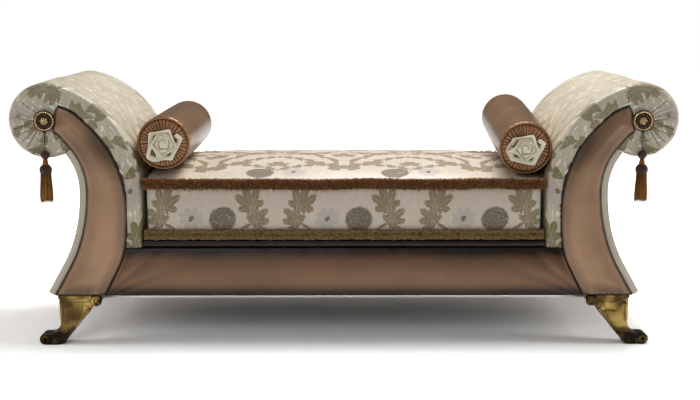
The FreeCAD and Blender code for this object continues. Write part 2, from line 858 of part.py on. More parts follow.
def rose():
    """A fabric rose: a seat and three open cups of petals, each turned from the last."""
    base = -(bolster_half_length - bolster_end_depth) - bolster_dish_depth
    pieces = [Part.makeCone(rose_radius * rose_seat_share, rose_radius * rose_seat_spread_share,
                            rose_seat_height, V(0, base, 0), Y_AXIS * -1)]
    for reach, rise, turn in rose_cups:
        root = rose_radius * reach / 2
        brim = rose_radius * reach
        waist = (root + brim) * rose_waist_share
        low = base - rose_sink
        tip = base - rose_height * rise
        half_way = (base + tip) / 2
        profile = [
            Part.Arc(V(root, low, 0), V(waist, half_way, 0), V(brim, tip, 0)).toShape(),
            Part.makeLine(V(brim, tip, 0), V(brim - rose_petal, tip, 0)),
            Part.Arc(V(brim - rose_petal, tip, 0), V(waist - rose_petal, half_way, 0),
                     V(root - rose_petal, low, 0)).toShape(),
            Part.makeLine(V(root - rose_petal, low, 0), V(root, low, 0)),
        ]
        cup = face_of(profile).revolve(ORIGIN, Y_AXIS, rose_open_angle)
        cup.rotate(ORIGIN, Y_AXIS, turn)
        pieces.append(cup)
    return join(pieces)


# Rosettes and tassels

def rosette(with_eye):
    """A corded disc with a ring of beads and a raised knot, on a short boss."""
    back = -pad_front - rosette_stand_off
    face = back - rosette_thickness
    spot = roll_centre + V(0, back, 0)
    disc = Part.makeCylinder(rosette_radius, rosette_thickness, spot, Y_AXIS * -1)
    rim = [edge for edge in disc.Edges if edge.BoundBox.YMax < face + same_place]
    disc = disc.makeFillet(rosette_rim_round, rim)
    pieces = [disc, Part.makeCylinder(rosette_boss_radius, rosette_stand_off - seat_gap, spot, Y_AXIS)]
    for index in range(bead_count):
        turn = 2 * math.pi * index / bead_count
        across = rosette_ring_radius * math.cos(turn)
        up = rosette_ring_radius * math.sin(turn)
        middle = roll_centre + point(across, up, face + bead_sink)
        pieces.append(Part.makeCone(bead_radius, bead_radius / 2, bead_rise, middle, Y_AXIS * -1))
    knot_spot = roll_centre + V(0, face, 0)
    pieces.append(Part.makeCone(knot_radius, knot_radius / 2, knot_rise, knot_spot, Y_AXIS * -1))
    if with_eye:
        stem_spot = eye_centre + V(0, cord_depth + back, eye_stem_radius)
        pieces.append(Part.makeCylinder(eye_stem_radius, cord_depth + back, stem_spot, Y_AXIS * -1))
        pieces.append(Part.makeSphere(eye_radius, eye_centre))
    return join(pieces)


# The eye is a bead on the rim of the rosette; the cord swings round its middle
eye_centre = roll_centre + V(0, -cord_depth, -rosette_radius)
cord_top = eye_centre + V(0, 0, -eye_radius)
skirt_top = cord_top.z - cord_length - mould_length


def tassel_cord():
    """A round cord with a round lower end, on which the mould tilts."""
    radius = cord_diameter / 2
    run = Part.makeCylinder(radius, cord_length - radius, cord_top, Z_AXIS * -1)
    end = Part.makeSphere(radius, cord_top + V(0, 0, radius - cord_length))
    cord = join([run, end])
    length_share = cord.Volume / (math.pi * radius ** 2 * cord_length)
    print("cord volume over section times length", round(length_share, 4))
    return cord


def tassel_head():
    """The turned and corded mould: a ball, a neck and a wider head."""
    top = cord_top.z - cord_length
    ball_middle = top - ball_radius
    ball_low = ball_middle - math.sqrt(ball_radius ** 2 - neck_radius ** 2)
    lip = skirt_top_radius - head_lip
    shoulder = neck_radius + neck_spread
    head_middle = skirt_top + math.sqrt(head_radius ** 2 - lip ** 2)
    neck_low = head_middle + math.sqrt(head_radius ** 2 - shoulder ** 2)
    profile = [
        Part.Arc(point(0, top), point(ball_radius, ball_middle), point(neck_radius, ball_low)).toShape(),
        Part.makeLine(point(neck_radius, ball_low), point(shoulder, neck_low)),
        Part.Arc(point(shoulder, neck_low), point(head_radius, head_middle), point(lip, skirt_top)).toShape(),
        Part.makeLine(point(lip, skirt_top), point(0, skirt_top)),
        Part.makeLine(point(0, skirt_top), point(0, top)),
    ]
    turned = face_of(profile).revolve(ORIGIN, Z_AXIS, 360)
    turned.translate(V(cord_top.x, cord_top.y, 0))
    return turned


def strand_ring(radius, height):
    """The outline of the skirt at one height: a ring of bundled strands."""
    valley = radius - strand_swell
    arcs = []
    for index in range(strand_count):
        turns = [2 * math.pi * (index + share) / strand_count for share in (0.0, 0.5, 1.0)]
        spots = [point(reach * math.cos(turn), height, reach * math.sin(turn))
                 for reach, turn in zip((valley, radius, valley), turns)]
        arcs.append(Part.Arc(*spots).toShape())
    return Part.Wire(arcs)


def tassel_skirt():
    """The cut skirt, bound at the top and fuller below, its strands lying in bundles."""
    shoulder = skirt_top - skirt_length * skirt_shoulder_share
    rings = [strand_ring(skirt_top_radius, skirt_top),
             strand_ring((skirt_top_radius + 2 * skirt_radius) / 3, shoulder),
             strand_ring(skirt_radius, skirt_top - skirt_length)]
    skirt = Part.makeLoft(rings, True, True)
    skirt.translate(V(cord_top.x, cord_top.y, 0))
    return skirt


def save_arms():
    panel = arm_panel()
    save_pair("arm_front_panel", panel)
    save_pair("arm_rear_panel", mirror_y(panel))
    save_pair("arm_battens", arm_battens())
    save_pair("arm_pad", pad_shape)
    save_pair("outer_cover", outer_cover())
    facing = satin_facing()
    save_pair("front_facing", facing)
    save_pair("rear_facing", mirror_y(facing))


def save_frame():
    front_rail = rail()
    save("front_rail", front_rail)
    save("rear_rail", mirror_y(front_rail))
    save_pair("end_rail", end_rail())
    block = corner_block()
    save_pair("front_corner_block", block)
    save_pair("rear_corner_block", mirror_y(block))
    save_pair("cross_slat", cross_slat())
    save("seat_webbing", seat_webbing())
    save("deck_pad", deck_pad())
    save("dust_cover", dust_cover())
    cover = rail_cover()
    save("front_rail_cover", cover)
    save("rear_rail_cover", mirror_y(cover))


def save_feet():
    carved = foot()
    save_pair("front_foot", carved)
    save_pair("rear_foot", mirror_y(carved))
    save("foot_bolts", foot_bolts())


def save_cushion():
    save("seat_cushion", cushion_shape)
    top_low = cushion_edge_top + fringe_top_lift - fringe_height
    save("cushion_top_fringe", fringe(top_low))
    save("cushion_bottom_fringe", fringe(cushion_bottom))


def save_bolsters():
    body = bolster_body()
    front_end = bolster_end()
    bloom = rose()
    for side, name in ((-1, "left_bolster"), (1, "right_bolster")):
        spot = bolster_spot(body, side, cushion_shape, pad_shape)
        save(name, place_bolster(body, side, spot))
        save(name + "_front_end", place_bolster(front_end, side, spot))
        save(name + "_rear_end", place_bolster(mirror_y(front_end), side, spot))
        save(name + "_front_rose", place_bolster(bloom, side, spot))
        save(name + "_rear_rose", place_bolster(mirror_y(bloom), side, spot))
        print(name, "rests at", spot)


def save_trimmings():
    save_pair("front_rosette", rosette(True))
    save_pair("rear_rosette", mirror_y(rosette(False)))
    save_pair("tassel_cord", tassel_cord())
    save_pair("tassel_head", tassel_head())
    save_pair("tassel_skirt", tassel_skirt())


pad_shape = arm_pad()
cushion_shape = seat_cushion()
save_arms()
save_frame()
save_feet()
save_cushion()
save_bolsters()
save_trimmings()
print("roll centre", roll_centre)
print("overall width", round(2 * (roll_centre.x + roll_radius), 1))
print("overall height", round(roll_centre.z + roll_radius, 1))
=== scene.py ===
# %% [markdown]
# # A recamier, dressed
# A recamier is a backless bench between two scrolled arms.
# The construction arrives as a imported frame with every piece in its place.
# This lesson lays the fabrics, fringes, carving and trimmings over that frame.

# %% Load the frame
import math
import random
import bpy
from mathutils import Matrix, Vector, noise
from mathutils.bvhtree import BVHTree
from mathutils.kdtree import KDTree


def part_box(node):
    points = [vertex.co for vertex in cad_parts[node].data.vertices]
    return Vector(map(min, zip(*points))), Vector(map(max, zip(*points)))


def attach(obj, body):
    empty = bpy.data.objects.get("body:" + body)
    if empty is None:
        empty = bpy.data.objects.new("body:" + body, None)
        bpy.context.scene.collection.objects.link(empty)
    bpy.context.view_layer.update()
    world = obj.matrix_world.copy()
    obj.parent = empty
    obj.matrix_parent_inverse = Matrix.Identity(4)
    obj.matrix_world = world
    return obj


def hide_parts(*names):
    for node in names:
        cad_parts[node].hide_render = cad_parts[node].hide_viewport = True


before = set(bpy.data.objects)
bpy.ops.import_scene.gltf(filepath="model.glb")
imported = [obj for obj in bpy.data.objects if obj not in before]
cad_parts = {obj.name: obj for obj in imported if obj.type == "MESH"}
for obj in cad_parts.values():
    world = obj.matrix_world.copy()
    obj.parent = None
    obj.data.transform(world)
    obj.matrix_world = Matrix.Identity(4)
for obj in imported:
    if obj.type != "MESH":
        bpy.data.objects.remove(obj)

bpy.context.view_layer.update()

# %% [markdown]
# ## The camera
# The picture was taken from straight in front, a little above the arms, looking slightly down.
# The lens follows from how fast the depth of the bench shrinks in the picture.
# A plain camera without shift keeps the other views in their frame.

# %% Camera
CAMERA_HEIGHT = 1.037
CAMERA_AWAY = 3.86
CAMERA_PITCH = math.radians(9.4)
CAMERA_YAW = math.radians(0.289)
FOCAL_PIXELS = 1190.0
PICTURE_WIDTH = 700.0


def new_object(name, data):
    """A new object of this data, linked to the scene."""
    made = bpy.data.objects.new(name, data)
    bpy.context.scene.collection.objects.link(made)
    return made


camera_data = bpy.data.cameras.new("camera")
camera = new_object("camera", camera_data)
camera_data.sensor_width = 36.0
camera_data.lens = FOCAL_PIXELS * camera_data.sensor_width / PICTURE_WIDTH
camera.location = (0.0, -CAMERA_AWAY, CAMERA_HEIGHT)
camera.rotation_euler = (math.pi / 2 - CAMERA_PITCH, 0.0, -CAMERA_YAW)
bpy.context.scene.camera = camera
print("lens", round(camera_data.lens, 1), "mm")

# %% [markdown]
# ## Colours and nodes
# Colours are read off as sRGB hex codes, and a shader wants linear light, so one function turns them.
# Materials are graphs, and one helper adds a node with its settings and links.

# %% Colour and node helpers
def linear(code):
    """An sRGB hex code as linear red, green, blue and alpha."""
    parts = [int(code[start:start + 2], 16) / 255 for start in (0, 2, 4)]
    return [c / 12.92 if c <= 0.04045 else ((c + 0.055) / 1.055) ** 2.4 for c in parts] + [1.0]


def add(tree, kind, sockets=None, **settings):
    """Add a node, set it up, fill or link its inputs, and give back its first output."""
    made = tree.nodes.new(kind)
    for name, value in settings.items():
        setattr(made, name, value)
    for key, value in (sockets or {}).items():
        if isinstance(value, bpy.types.NodeSocket):
            tree.links.new(value, made.inputs[key])
        else:
            made.inputs[key].default_value = value
    return made.outputs[0] if made.outputs else None


def maths(tree, operation, *values):
    """A Math node of one to three values."""
    return add(tree, "ShaderNodeMath", dict(enumerate(values)), operation=operation)


def times(tree, one, other):
    return maths(tree, "MULTIPLY", one, other)


def place_in(tree):
    """The place on the piece that is being shaded, in metres."""
    return add(tree, "ShaderNodeTexCoord").node.outputs["Object"]


def attribute(tree, name):
    """A value that the mesh carries at each of its points."""
    return add(tree, "ShaderNodeAttribute", attribute_name=name).node.outputs["Fac"]


def colour_ramp(tree, tone, *stops):
    """A ramp of colours, from pairs of a position and a hex code in rising order."""
    ramp = add(tree, "ShaderNodeValToRGB", {"Fac": tone})
    elements = ramp.node.color_ramp.elements
    for index, (position, code) in enumerate((stops[0], stops[-1])):
        elements[index].position = position
        elements[index].color = linear(code)
    for position, code in stops[1:-1]:
        elements.new(position).color = linear(code)
    return ramp


def tint(tree, amount, under, over):
    """One colour laid over another by an amount; each is a socket or a hex code."""
    layer = add(tree, "ShaderNodeMix", {0: amount}, data_type="RGBA")
    for index, colour in ((6, under), (7, over)):
        if isinstance(colour, str):
            layer.node.inputs[index].default_value = linear(colour)
        else:
            tree.links.new(colour, layer.node.inputs[index])
    return layer.node.outputs[2]


def new_material(name):
    """An empty material and its node tree."""
    material = bpy.data.materials.new(name)
    material.use_nodes = True
    material.node_tree.nodes.clear()
    return material, material.node_tree


def close_material(tree, shader):
    add(tree, "ShaderNodeOutputMaterial", {"Surface": shader})


# %% [markdown]
# ## Light, floor and backdrop
# A catalogue picture has one large soft lamp above and behind, a broad fill from the front,
# and a floor so bright that it melts into the backdrop but still takes a soft shadow.
# The camera sees a paper brighter than white, so what no shadow reaches clips to white like the backdrop.

# %% Floor, world and lamps
FLOOR_SIZE = 30.0
PAPER_FOR_CAMERA = 1.9
BRIGHT_CENTRE = (0.0, -0.5, 0.0)
BRIGHT_FROM, BRIGHT_TO = 1.2, 2.6
ROOM_LIGHT = 0.19

bpy.ops.object.select_all(action="DESELECT")
bpy.ops.mesh.primitive_plane_add(size=FLOOR_SIZE, location=(0, 0, 0))
floor = bpy.context.object
floor.name = "studio_floor"
floor_paint, tree = new_material("matt_paper_floor")
paper = add(tree, "ShaderNodeBsdfDiffuse", {"Color": linear("ededed")})
bright_paper = add(tree, "ShaderNodeBsdfDiffuse", {"Color": [PAPER_FOR_CAMERA] * 3 + [1.0]})
away = add(tree, "ShaderNodeVectorMath", {0: place_in(tree), 1: BRIGHT_CENTRE}, operation="DISTANCE")
sweep = add(tree, "ShaderNodeMapRange", {"Value": away.node.outputs["Value"], "From Min": BRIGHT_FROM,
                                         "From Max": BRIGHT_TO, "To Max": 0.7})
lit_far = add(tree, "ShaderNodeEmission", {"Color": [1, 1, 1, 1], "Strength": sweep})
sweeping_paper = add(tree, "ShaderNodeAddShader", {0: bright_paper, 1: lit_far})
rays = add(tree, "ShaderNodeLightPath").node.outputs
direct = maths(tree, "MAXIMUM", rays["Is Camera Ray"], rays["Is Glossy Ray"])
close_material(tree, add(tree, "ShaderNodeMixShader", {0: direct, 1: paper, 2: sweeping_paper}))
floor.data.materials.append(floor_paint)

world = bpy.data.worlds.new("studio")
bpy.context.scene.world = world
world.use_nodes = True
sky = world.node_tree
sky.nodes.clear()
backdrop = add(sky, "ShaderNodeBackground", {"Color": [1, 1, 1, 1], "Strength": 1.0})
room = add(sky, "ShaderNodeBackground", {"Color": linear("f4f2ee"), "Strength": ROOM_LIGHT})
path = add(sky, "ShaderNodeLightPath").node.outputs
direct = maths(sky, "MAXIMUM", path["Is Camera Ray"], path["Is Transmission Ray"])
mixed = add(sky, "ShaderNodeMixShader", {0: direct, 1: room, 2: backdrop})
add(sky, "ShaderNodeOutputWorld", {"Surface": mixed})


def lamp(name, spot, aim, size, power):
    """A rectangular soft box at a spot, turned to face a point."""
    data = bpy.data.lights.new(name, "AREA")
    data.shape = "RECTANGLE"
    data.size, data.size_y = size
    data.energy = power
    box = new_object(name, data)
    box.location = spot
    box.rotation_euler = (Vector(aim) - Vector(spot)).to_track_quat("-Z", "Y").to_euler()


lamp("top_soft_box", (0.7, 0.6, 3.2), (0, 0, 0.4), (2.2, 1.0), 105)
lamp("seat_strip", (0.0, 0.2, 1.9), (0, 0, 0.5), (0.3, 1.4), 6)
lamp("front_fill", (-1.2, -4.2, 2.4), (0, 0, 0.5), (2.4, 1.6), 40)
lamp("right_strip", (3.4, -0.8, 1.7), (0, 0, 0.5), (0.6, 2.0), 26)
lamp("left_strip", (-3.4, -0.6, 1.9), (0, 0, 0.5), (0.6, 2.0), 22)
bpy.context.scene.view_settings.view_transform = "Standard"
print("lamps set")

# %% [markdown]
# ## Helpers for making pieces
# A soft solid of the frame is a good start for its own upholstery: it has the right size and place.
# A copy of it is merged, then rebuilt with even faces by a voxel remesh, and then shaped like fabric.

# %% Piece helpers
WELD = 0.00002


def only(obj):
    """Select one object and make it the active one."""
    bpy.ops.object.select_all(action="DESELECT")
    obj.select_set(True)
    bpy.context.view_layer.objects.active = obj


def weld(obj, distance):
    """Merge points that lie this close together, and turn all faces outward."""
    only(obj)
    bpy.ops.object.mode_set(mode="EDIT")
    bpy.ops.mesh.select_all(action="SELECT")
    bpy.ops.mesh.remove_doubles(threshold=distance)
    bpy.ops.mesh.normals_make_consistent(inside=False)
    bpy.ops.object.mode_set(mode="OBJECT")


def join(parts):
    """Join objects into the first of them, and shade it smooth."""
    bpy.ops.object.select_all(action="DESELECT")
    for part in parts:
        part.select_set(True)
    bpy.context.view_layer.objects.active = parts[0]
    bpy.ops.object.join()
    bpy.ops.object.shade_smooth()
    return parts[0]


def primitive(add_shape, **settings):
    """A basic shape with its place and turn written into its points."""
    bpy.ops.object.select_all(action="DESELECT")
    add_shape(**settings)
    bpy.ops.object.transform_apply(location=True, rotation=True, scale=True)
    return bpy.context.object


def flat_grid(name, columns, rows):
    """A square grid from -1 to 1, to be bent into a piece of this name."""
    made = primitive(bpy.ops.mesh.primitive_grid_add, x_subdivisions=columns, y_subdivisions=rows, size=2.0)
    made.name = made.data.name = name
    return made


def merged_copy(node_name, name):
    """A copy of a node, freed of the frame, its loose triangles merged."""
    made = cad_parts[node_name].copy()
    made.data = made.data.copy()
    made.parent = None
    for key in list(made.keys()):
        del made[key]
    bpy.context.scene.collection.objects.link(made)
    made.name = made.data.name = name
    made.data.materials.clear()
    only(made)
    bpy.ops.mesh.customdata_custom_splitnormals_clear()
    weld(made, WELD)
    return made


def remesh(obj, voxel, passes=2):
    """Rebuild a closed mesh with even faces, then relax it."""
    only(obj)
    obj.data.remesh_voxel_size = voxel
    bpy.ops.object.voxel_remesh()
    if passes:
        relax = obj.modifiers.new("relax", "SMOOTH")
        relax.factor = 0.5
        relax.iterations = passes
        bpy.ops.object.modifier_apply(modifier=relax.name)
    bpy.ops.object.shade_smooth()


def apply_modifier(obj, kind, **settings):
    """Add a modifier, set it and apply it."""
    only(obj)
    modifier = obj.modifiers.new(kind.lower(), kind)
    for name, value in settings.items():
        setattr(modifier, name, value)
    bpy.ops.object.modifier_apply(modifier=modifier.name)


def dress(obj, body, slot, material, *nodes):
    """Give a finished piece its fabric, let it ride on a body and stand for its nodes."""
    obj.data.materials.clear()
    obj.data.materials.append(material)
    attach(obj, body)
    if nodes:
        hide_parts(*nodes)


def flip(obj, plane):
    """Mirror a piece across the middle of the bench: plane 0 swaps left and right, 1 front and back."""
    matrix = Matrix.Identity(4)
    matrix[plane][plane] = -1
    obj.data.transform(matrix)
    obj.data.flip_normals()


def mirror_piece(obj, name, plane):
    """A mirrored copy of a piece."""
    twin = new_object(name, obj.data.copy())
    twin.data.name = name
    flip(twin, plane)
    return twin


def smoothstep(low, high, value):
    share = min(max((value - low) / (high - low), 0.0), 1.0)
    return share * share * (3 - 2 * share)


# %% [markdown]
# ## Satin
# The facings, the rail and the bolsters are satin: a weave whose long floats lie side by side,
# so the cloth is smooth and throws a soft, stretched highlight across the threads.
# A little metal in a plain shader gives it that sheen. Hollows and lit ridges could be left to the lamps, but
# each mesh carries them as values, painted into the colour as shade in the hollows and highlight on the ridges,
# so the folds still read where the light is flat; the colour is also painted darker where the cloth turns away.

# %% Satin
THREAD = 0.0009


def satin(name, deep, body, bright, roughness=0.34, shine=0.4):
    """Sateen-woven cloth, with slow colour drift and soft creases; painted shade where it turns away and in its
    creases, and painted highlights.
    """
    material, tree = new_material(name)
    spot = place_in(tree)
    drift = add(tree, "ShaderNodeTexNoise", {"Vector": spot, "Scale": 5.0, "Detail": 4.0, "Roughness": 0.6})
    # Painted shade: the colour runs from bright where the cloth faces the camera to deep where it turns away.
    edge = add(tree, "ShaderNodeLayerWeight", {"Blend": 0.35}).node.outputs["Facing"]
    tone = maths(tree, "MULTIPLY_ADD", drift, 0.35, edge)
    ramp = colour_ramp(tree, tone, (0.1, bright), (0.45, body), (0.95, deep))
    # Painted shade from the mesh's crease value and painted highlight from its glint value; the crease value
    # also sets the fold bumps.
    crease_shade = attribute(tree, "crease_shade")
    valley = tint(tree, crease_shade, ramp, deep)
    shown = tint(tree, attribute(tree, "glint"), valley, bright)
    threads = add(tree, "ShaderNodeTexNoise", {"Vector": spot, "Scale": 1 / THREAD, "Detail": 1.0})
    folds = add(tree, "ShaderNodeTexNoise", {"Vector": spot, "Scale": 9.0, "Detail": 3.0, "Distortion": 0.8})
    fine = add(tree, "ShaderNodeBump", {"Height": threads, "Strength": 0.05, "Distance": 0.0002})
    soft = add(tree, "ShaderNodeBump", {"Height": folds, "Strength": crease_shade, "Distance": 0.006, "Normal": fine})
    cloth = add(tree, "ShaderNodeBsdfPrincipled", {
        "Base Color": shown, "Roughness": roughness, "Normal": soft, "Metallic": shine,
        "Specular IOR Level": 0.38, "Sheen Weight": 0.08, "Sheen Roughness": 0.4,
        "Sheen Tint": linear(bright)})
    close_material(tree, cloth)
    return material


bronze_satin = satin("bronze_sateen", "120904", "4f3a2b", "a07e60", shine=0.35)
copper_satin = satin("copper_sateen", "5e4026", "b3855a", "f0d8b2", roughness=0.3, shine=0.2)
rail_satin = satin("dark_bronze_sateen", "0e0602", "4f3826", "6d5039", roughness=0.4)
ruched_satin = satin("ruched_sateen", "1c0e05", "5e3d22", "9c6c40", roughness=0.38, shine=0.3)
rose_silk = satin("pale_rose_silk", "6b5f40", "cdc3a4", "f0e9d2", roughness=0.42, shine=0.05)
print("satins made")

# %% [markdown]
# ## Plain cloths, wood and webbing
# The outer sides of the arms wear a plain ivory cloth, the underside a black non-woven one.
# The frame is sawn beech and birch plywood, and jute bands carry the seat.

# %% Plain cloths
def plain_cloth(name, shade, light, thread, roughness=0.85, sheen=0.2):
    """A plain weave: two crossed sets of threads, drawn wide enough to show, and a little drift."""
    material, tree = new_material(name)
    spot = place_in(tree)
    drift = add(tree, "ShaderNodeTexNoise", {"Vector": spot, "Scale": 7.0, "Detail": 5.0})
    grain = add(tree, "ShaderNodeTexNoise", {"Vector": spot, "Scale": 1 / thread, "Detail": 2.0})
    tone = times(tree, maths(tree, "ADD", drift, grain), 0.5)
    ramp = colour_ramp(tree, tone, (0.3, shade), (0.7, light))
    bump = add(tree, "ShaderNodeBump", {"Height": grain, "Strength": 0.25, "Distance": thread})
    cloth = add(tree, "ShaderNodeBsdfPrincipled", {
        "Base Color": ramp, "Roughness": roughness, "Normal": bump, "Specular IOR Level": 0.2,
        "Sheen Weight": sheen})
    close_material(tree, cloth)
    return material


ivory_cloth = plain_cloth("ivory_wool_cloth", "b6ab97", "ddd4c4", 0.0012)
dust_cloth = plain_cloth("black_spunbond", "0c0c0c", "1a1a1a", 0.002, sheen=0.0)
jute = plain_cloth("jute_webbing", "6b5636", "9c8258", 0.003)


def sawn_wood(name, dark, light, grain):
    """Sawn timber: growth rings stretched along the bench."""
    material, tree = new_material(name)
    spot = place_in(tree)
    along = add(tree, "ShaderNodeMapping", {"Vector": spot, "Scale": (1.0, 1.0, 6.0)})
    wander = add(tree, "ShaderNodeTexNoise", {"Vector": along, "Scale": 3.0, "Detail": 3.0})
    rings = add(tree, "ShaderNodeTexWave", {"Vector": along, "Scale": 1 / grain, "Distortion": 6.0,
                                            "Detail": 2.0})
    ramp = colour_ramp(tree, times(tree, rings, wander), (0.0, dark), (1.0, light))
    bump = add(tree, "ShaderNodeBump", {"Height": rings, "Strength": 0.1, "Distance": 0.001})
    wood = add(tree, "ShaderNodeBsdfPrincipled", {"Base Color": ramp, "Roughness": 0.6, "Normal": bump})
    close_material(tree, wood)
    return material


beech = sawn_wood("sawn_beech", "8a6238", "c79a66", 0.03)
zinc, tree = new_material("zinc_plated_steel")
mottle = add(tree, "ShaderNodeTexNoise", {"Vector": place_in(tree), "Scale": 300.0})
rough = add(tree, "ShaderNodeMapRange", {"Value": mottle, "To Min": 0.25, "To Max": 0.5})
close_material(tree, add(tree, "ShaderNodeBsdfPrincipled", {
    "Base Color": linear("b9bcc0"), "Metallic": 1.0, "Roughness": rough}))

# %% Finish the hidden frame
HIDDEN_FINISH = [("rail", beech), ("panel", beech), ("batten", beech), ("slat", beech), ("block", beech),
                 ("webbing", jute), ("dust_cover", dust_cloth), ("foot_bolts", zinc)]
for node_name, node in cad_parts.items():
    for word, finish in HIDDEN_FINISH:
        if word in node_name and "rail_cover" not in node_name:
            node.data.materials.clear()
            node.data.materials.append(finish)
print("hidden frame finished")

# %% [markdown]
# ## Tassel cords
# Each front rosette holds a short twisted silk cord, about 5 cm long and 3 mm thick, with a tassel on it.
# A weight on such a short limp cord pulls it straight, so its line is one upright run.
# The cord is a smooth curve with a round section, and its twist is drawn by the material.

# %% Tassel cords
ROLL_X = 0.8870191
ROLL_Z = 0.6924948
CORD_TOP = 0.6559948
CORD_LENGTH = 0.0505
CORD_DIAMETER = 0.003
CORD_DEPTH = -0.350


def tassel_cord(side):
    """One hanging cord: a smooth spline whose points lie straight below each other."""
    x = ROLL_X if side == "right" else -ROLL_X
    route = [(x, CORD_DEPTH, CORD_TOP), (x, CORD_DEPTH, CORD_TOP - CORD_LENGTH / 2),
             (x, CORD_DEPTH, CORD_TOP - CORD_LENGTH)]
    name = side + "_silk_cord"
    curve = bpy.data.curves.new(name, "CURVE")
    curve.dimensions = "3D"
    curve.bevel_depth = CORD_DIAMETER / 2
    curve.bevel_resolution = 4
    curve.use_fill_caps = True
    curve.resolution_u = 12
    spline = curve.splines.new("NURBS")
    spline.points.add(len(route) - 1)
    for dot, place in zip(spline.points, route):
        dot.co = (*place, 1.0)
    spline.order_u = 3
    spline.use_endpoint_u = True
    return new_object(name, curve)


cords = {side: tassel_cord(side) for side in ("left", "right")}
print("tassel cords:", CORD_LENGTH * 1000, "mm long each")

# %% [markdown]
# ## Damask brocade
# The cushion and the arm pads wear a silk and linen brocade: a pale satin ground with peonies, daisies and
# mirrored sprays of acanthus in an arch lattice, a traditional pattern that repeats about every 41 cm.
# It could be painted as an image, but drawn by nodes it stays sharp and follows each piece's flat cloth map.
# Each leaf is drawn round its foot: a Mapping node turns the cloth so the leaf points along it, and the reach
# of the leaf swings with the angle, which gives the lobes; garlands do the same along a bowed line.

# %% The repeat of the pattern, in metres on the cloth
REPEAT_ACROSS = 0.411
REPEAT_UP = 0.62
REPEAT_FOOT = -0.03
FRAY = 0.009
# Each leaf: foot across and up from the mirror line, length, way in degrees, and how many lobes
ACANTHUS = [(0.074, 0.074, 0.070, 72, 8.0), (0.066, 0.030, 0.056, 138, 7.0), (0.194, 0.255, 0.058, 120, 5.0),
            (0.205, 0.440, 0.070, 90, 7.0), (0.030, 0.560, 0.046, 60, 5.0), (0.118, 0.315, 0.044, 150, 5.0),
            (0.004, 0.290, 0.050, 84, 7.0), (0.132, 0.500, 0.050, 60, 7.0)]
# Each stem or curl: middle across and up, half length, half width, lean in degrees
STEMS = [(0.068, 0.048, 0.046, 0.0050, 88), (0.088, 0.016, 0.024, 0.0050, 150),
         (0.050, 0.014, 0.022, 0.0050, 20)]
# Each garland: start up the mirror line, slope, bow, leaf step, half width
GARLANDS = [(0.560, -1.25, 0.9, 0.046, 0.021), (0.420, -0.95, 0.6, 0.036, 0.016),
            (0.490, 0.40, -0.6, 0.040, 0.012), (0.240, 0.30, 0.5, 0.036, 0.012)]
GARLAND_END = 0.190
# Each peony: middle across and up, half length, half width, lean in degrees; each daisy: middle across and up
PEONIES = [(-0.161, 0.036, 0.041, 0.038, 20), (-0.050, 0.215, 0.043, 0.034, 10)]
DAISIES = [(0.155, 0.038), (0.052, 0.222)]


def darned(tree, spot, shape, start=None, pointed=True):
    """Distance to a leaf or a squeezed circle, one at its edge; the smaller of it and the shapes before it."""
    across, up, half_length, half_width, lean = shape
    local = add(tree, "ShaderNodeMapping", {
        "Vector": spot, "Location": (across, up, 0), "Rotation": (0, 0, math.radians(lean)),
        "Scale": (half_length, half_width, 1)}, vector_type="TEXTURE")
    if pointed:
        sides = add(tree, "ShaderNodeSeparateXYZ", {0: local}).node.outputs
        wide = maths(tree, "ABSOLUTE", sides[1])
        far = maths(tree, "MULTIPLY_ADD", sides[0], sides[0], wide)
    else:
        far = add(tree, "ShaderNodeVectorMath", {0: local}, operation="LENGTH").node.outputs["Value"]
    if start is None:
        return far
    return maths(tree, "SMOOTH_MIN", start, far, 0.08)


def acanthus(tree, spot, leaf):
    """Distance to a lobed leaf, one at its edge, and to the light ribs of its lobes."""
    across, up, length, way, lobes = leaf
    local = add(tree, "ShaderNodeMapping", {
        "Vector": spot, "Location": (across, up, 0), "Rotation": (0, 0, math.radians(way)),
        "Scale": (length, length * 0.8, 1)}, vector_type="TEXTURE")
    off = add(tree, "ShaderNodeVectorMath", {0: local}, operation="LENGTH").node.outputs["Value"]
    sides = add(tree, "ShaderNodeSeparateXYZ", {0: local}).node.outputs
    turn = maths(tree, "ARCTAN2", sides[1], sides[0])
    spread = maths(tree, "COSINE", times(tree, turn, 0.5))
    swing = times(tree, turn, lobes / 2)
    lobe = maths(tree, "ABSOLUTE", maths(tree, "COSINE", swing))
    cut = maths(tree, "MULTIPLY_ADD", lobe, 0.42, 0.58)
    reach = times(tree, cut, spread)
    far = maths(tree, "DIVIDE", off, reach)
    between = maths(tree, "ABSOLUTE", maths(tree, "SINE", swing))
    return far, times(tree, between, off)


def garland(tree, spot, shape):
    """Distance to slanting leaf pairs along a bowed line."""
    up, slope, bow, step, half_width = shape
    sides = add(tree, "ShaderNodeSeparateXYZ", {0: spot}).node.outputs
    bowed = maths(tree, "ADD", times(tree, sides[0], -bow / 0.2), slope + bow)
    line = maths(tree, "MULTIPLY_ADD", sides[0], bowed, up)
    lift = maths(tree, "SUBTRACT", sides[1], line)
    apart = maths(tree, "ABSOLUTE", lift)
    slanted = maths(tree, "MULTIPLY_ADD", apart, -0.7, sides[0])
    wave = maths(tree, "SINE", times(tree, slanted, math.pi / step))
    wide = maths(tree, "MULTIPLY_ADD", maths(tree, "ABSOLUTE", wave), half_width * 1.5, half_width * 0.1)
    far = maths(tree, "DIVIDE", apart, wide)
    behind = maths(tree, "GREATER_THAN", sides[0], GARLAND_END)
    return maths(tree, "MULTIPLY_ADD", behind, 5.0, far)


def nearest(tree, one, other):
    return other if one is None else maths(tree, "MINIMUM", one, other)


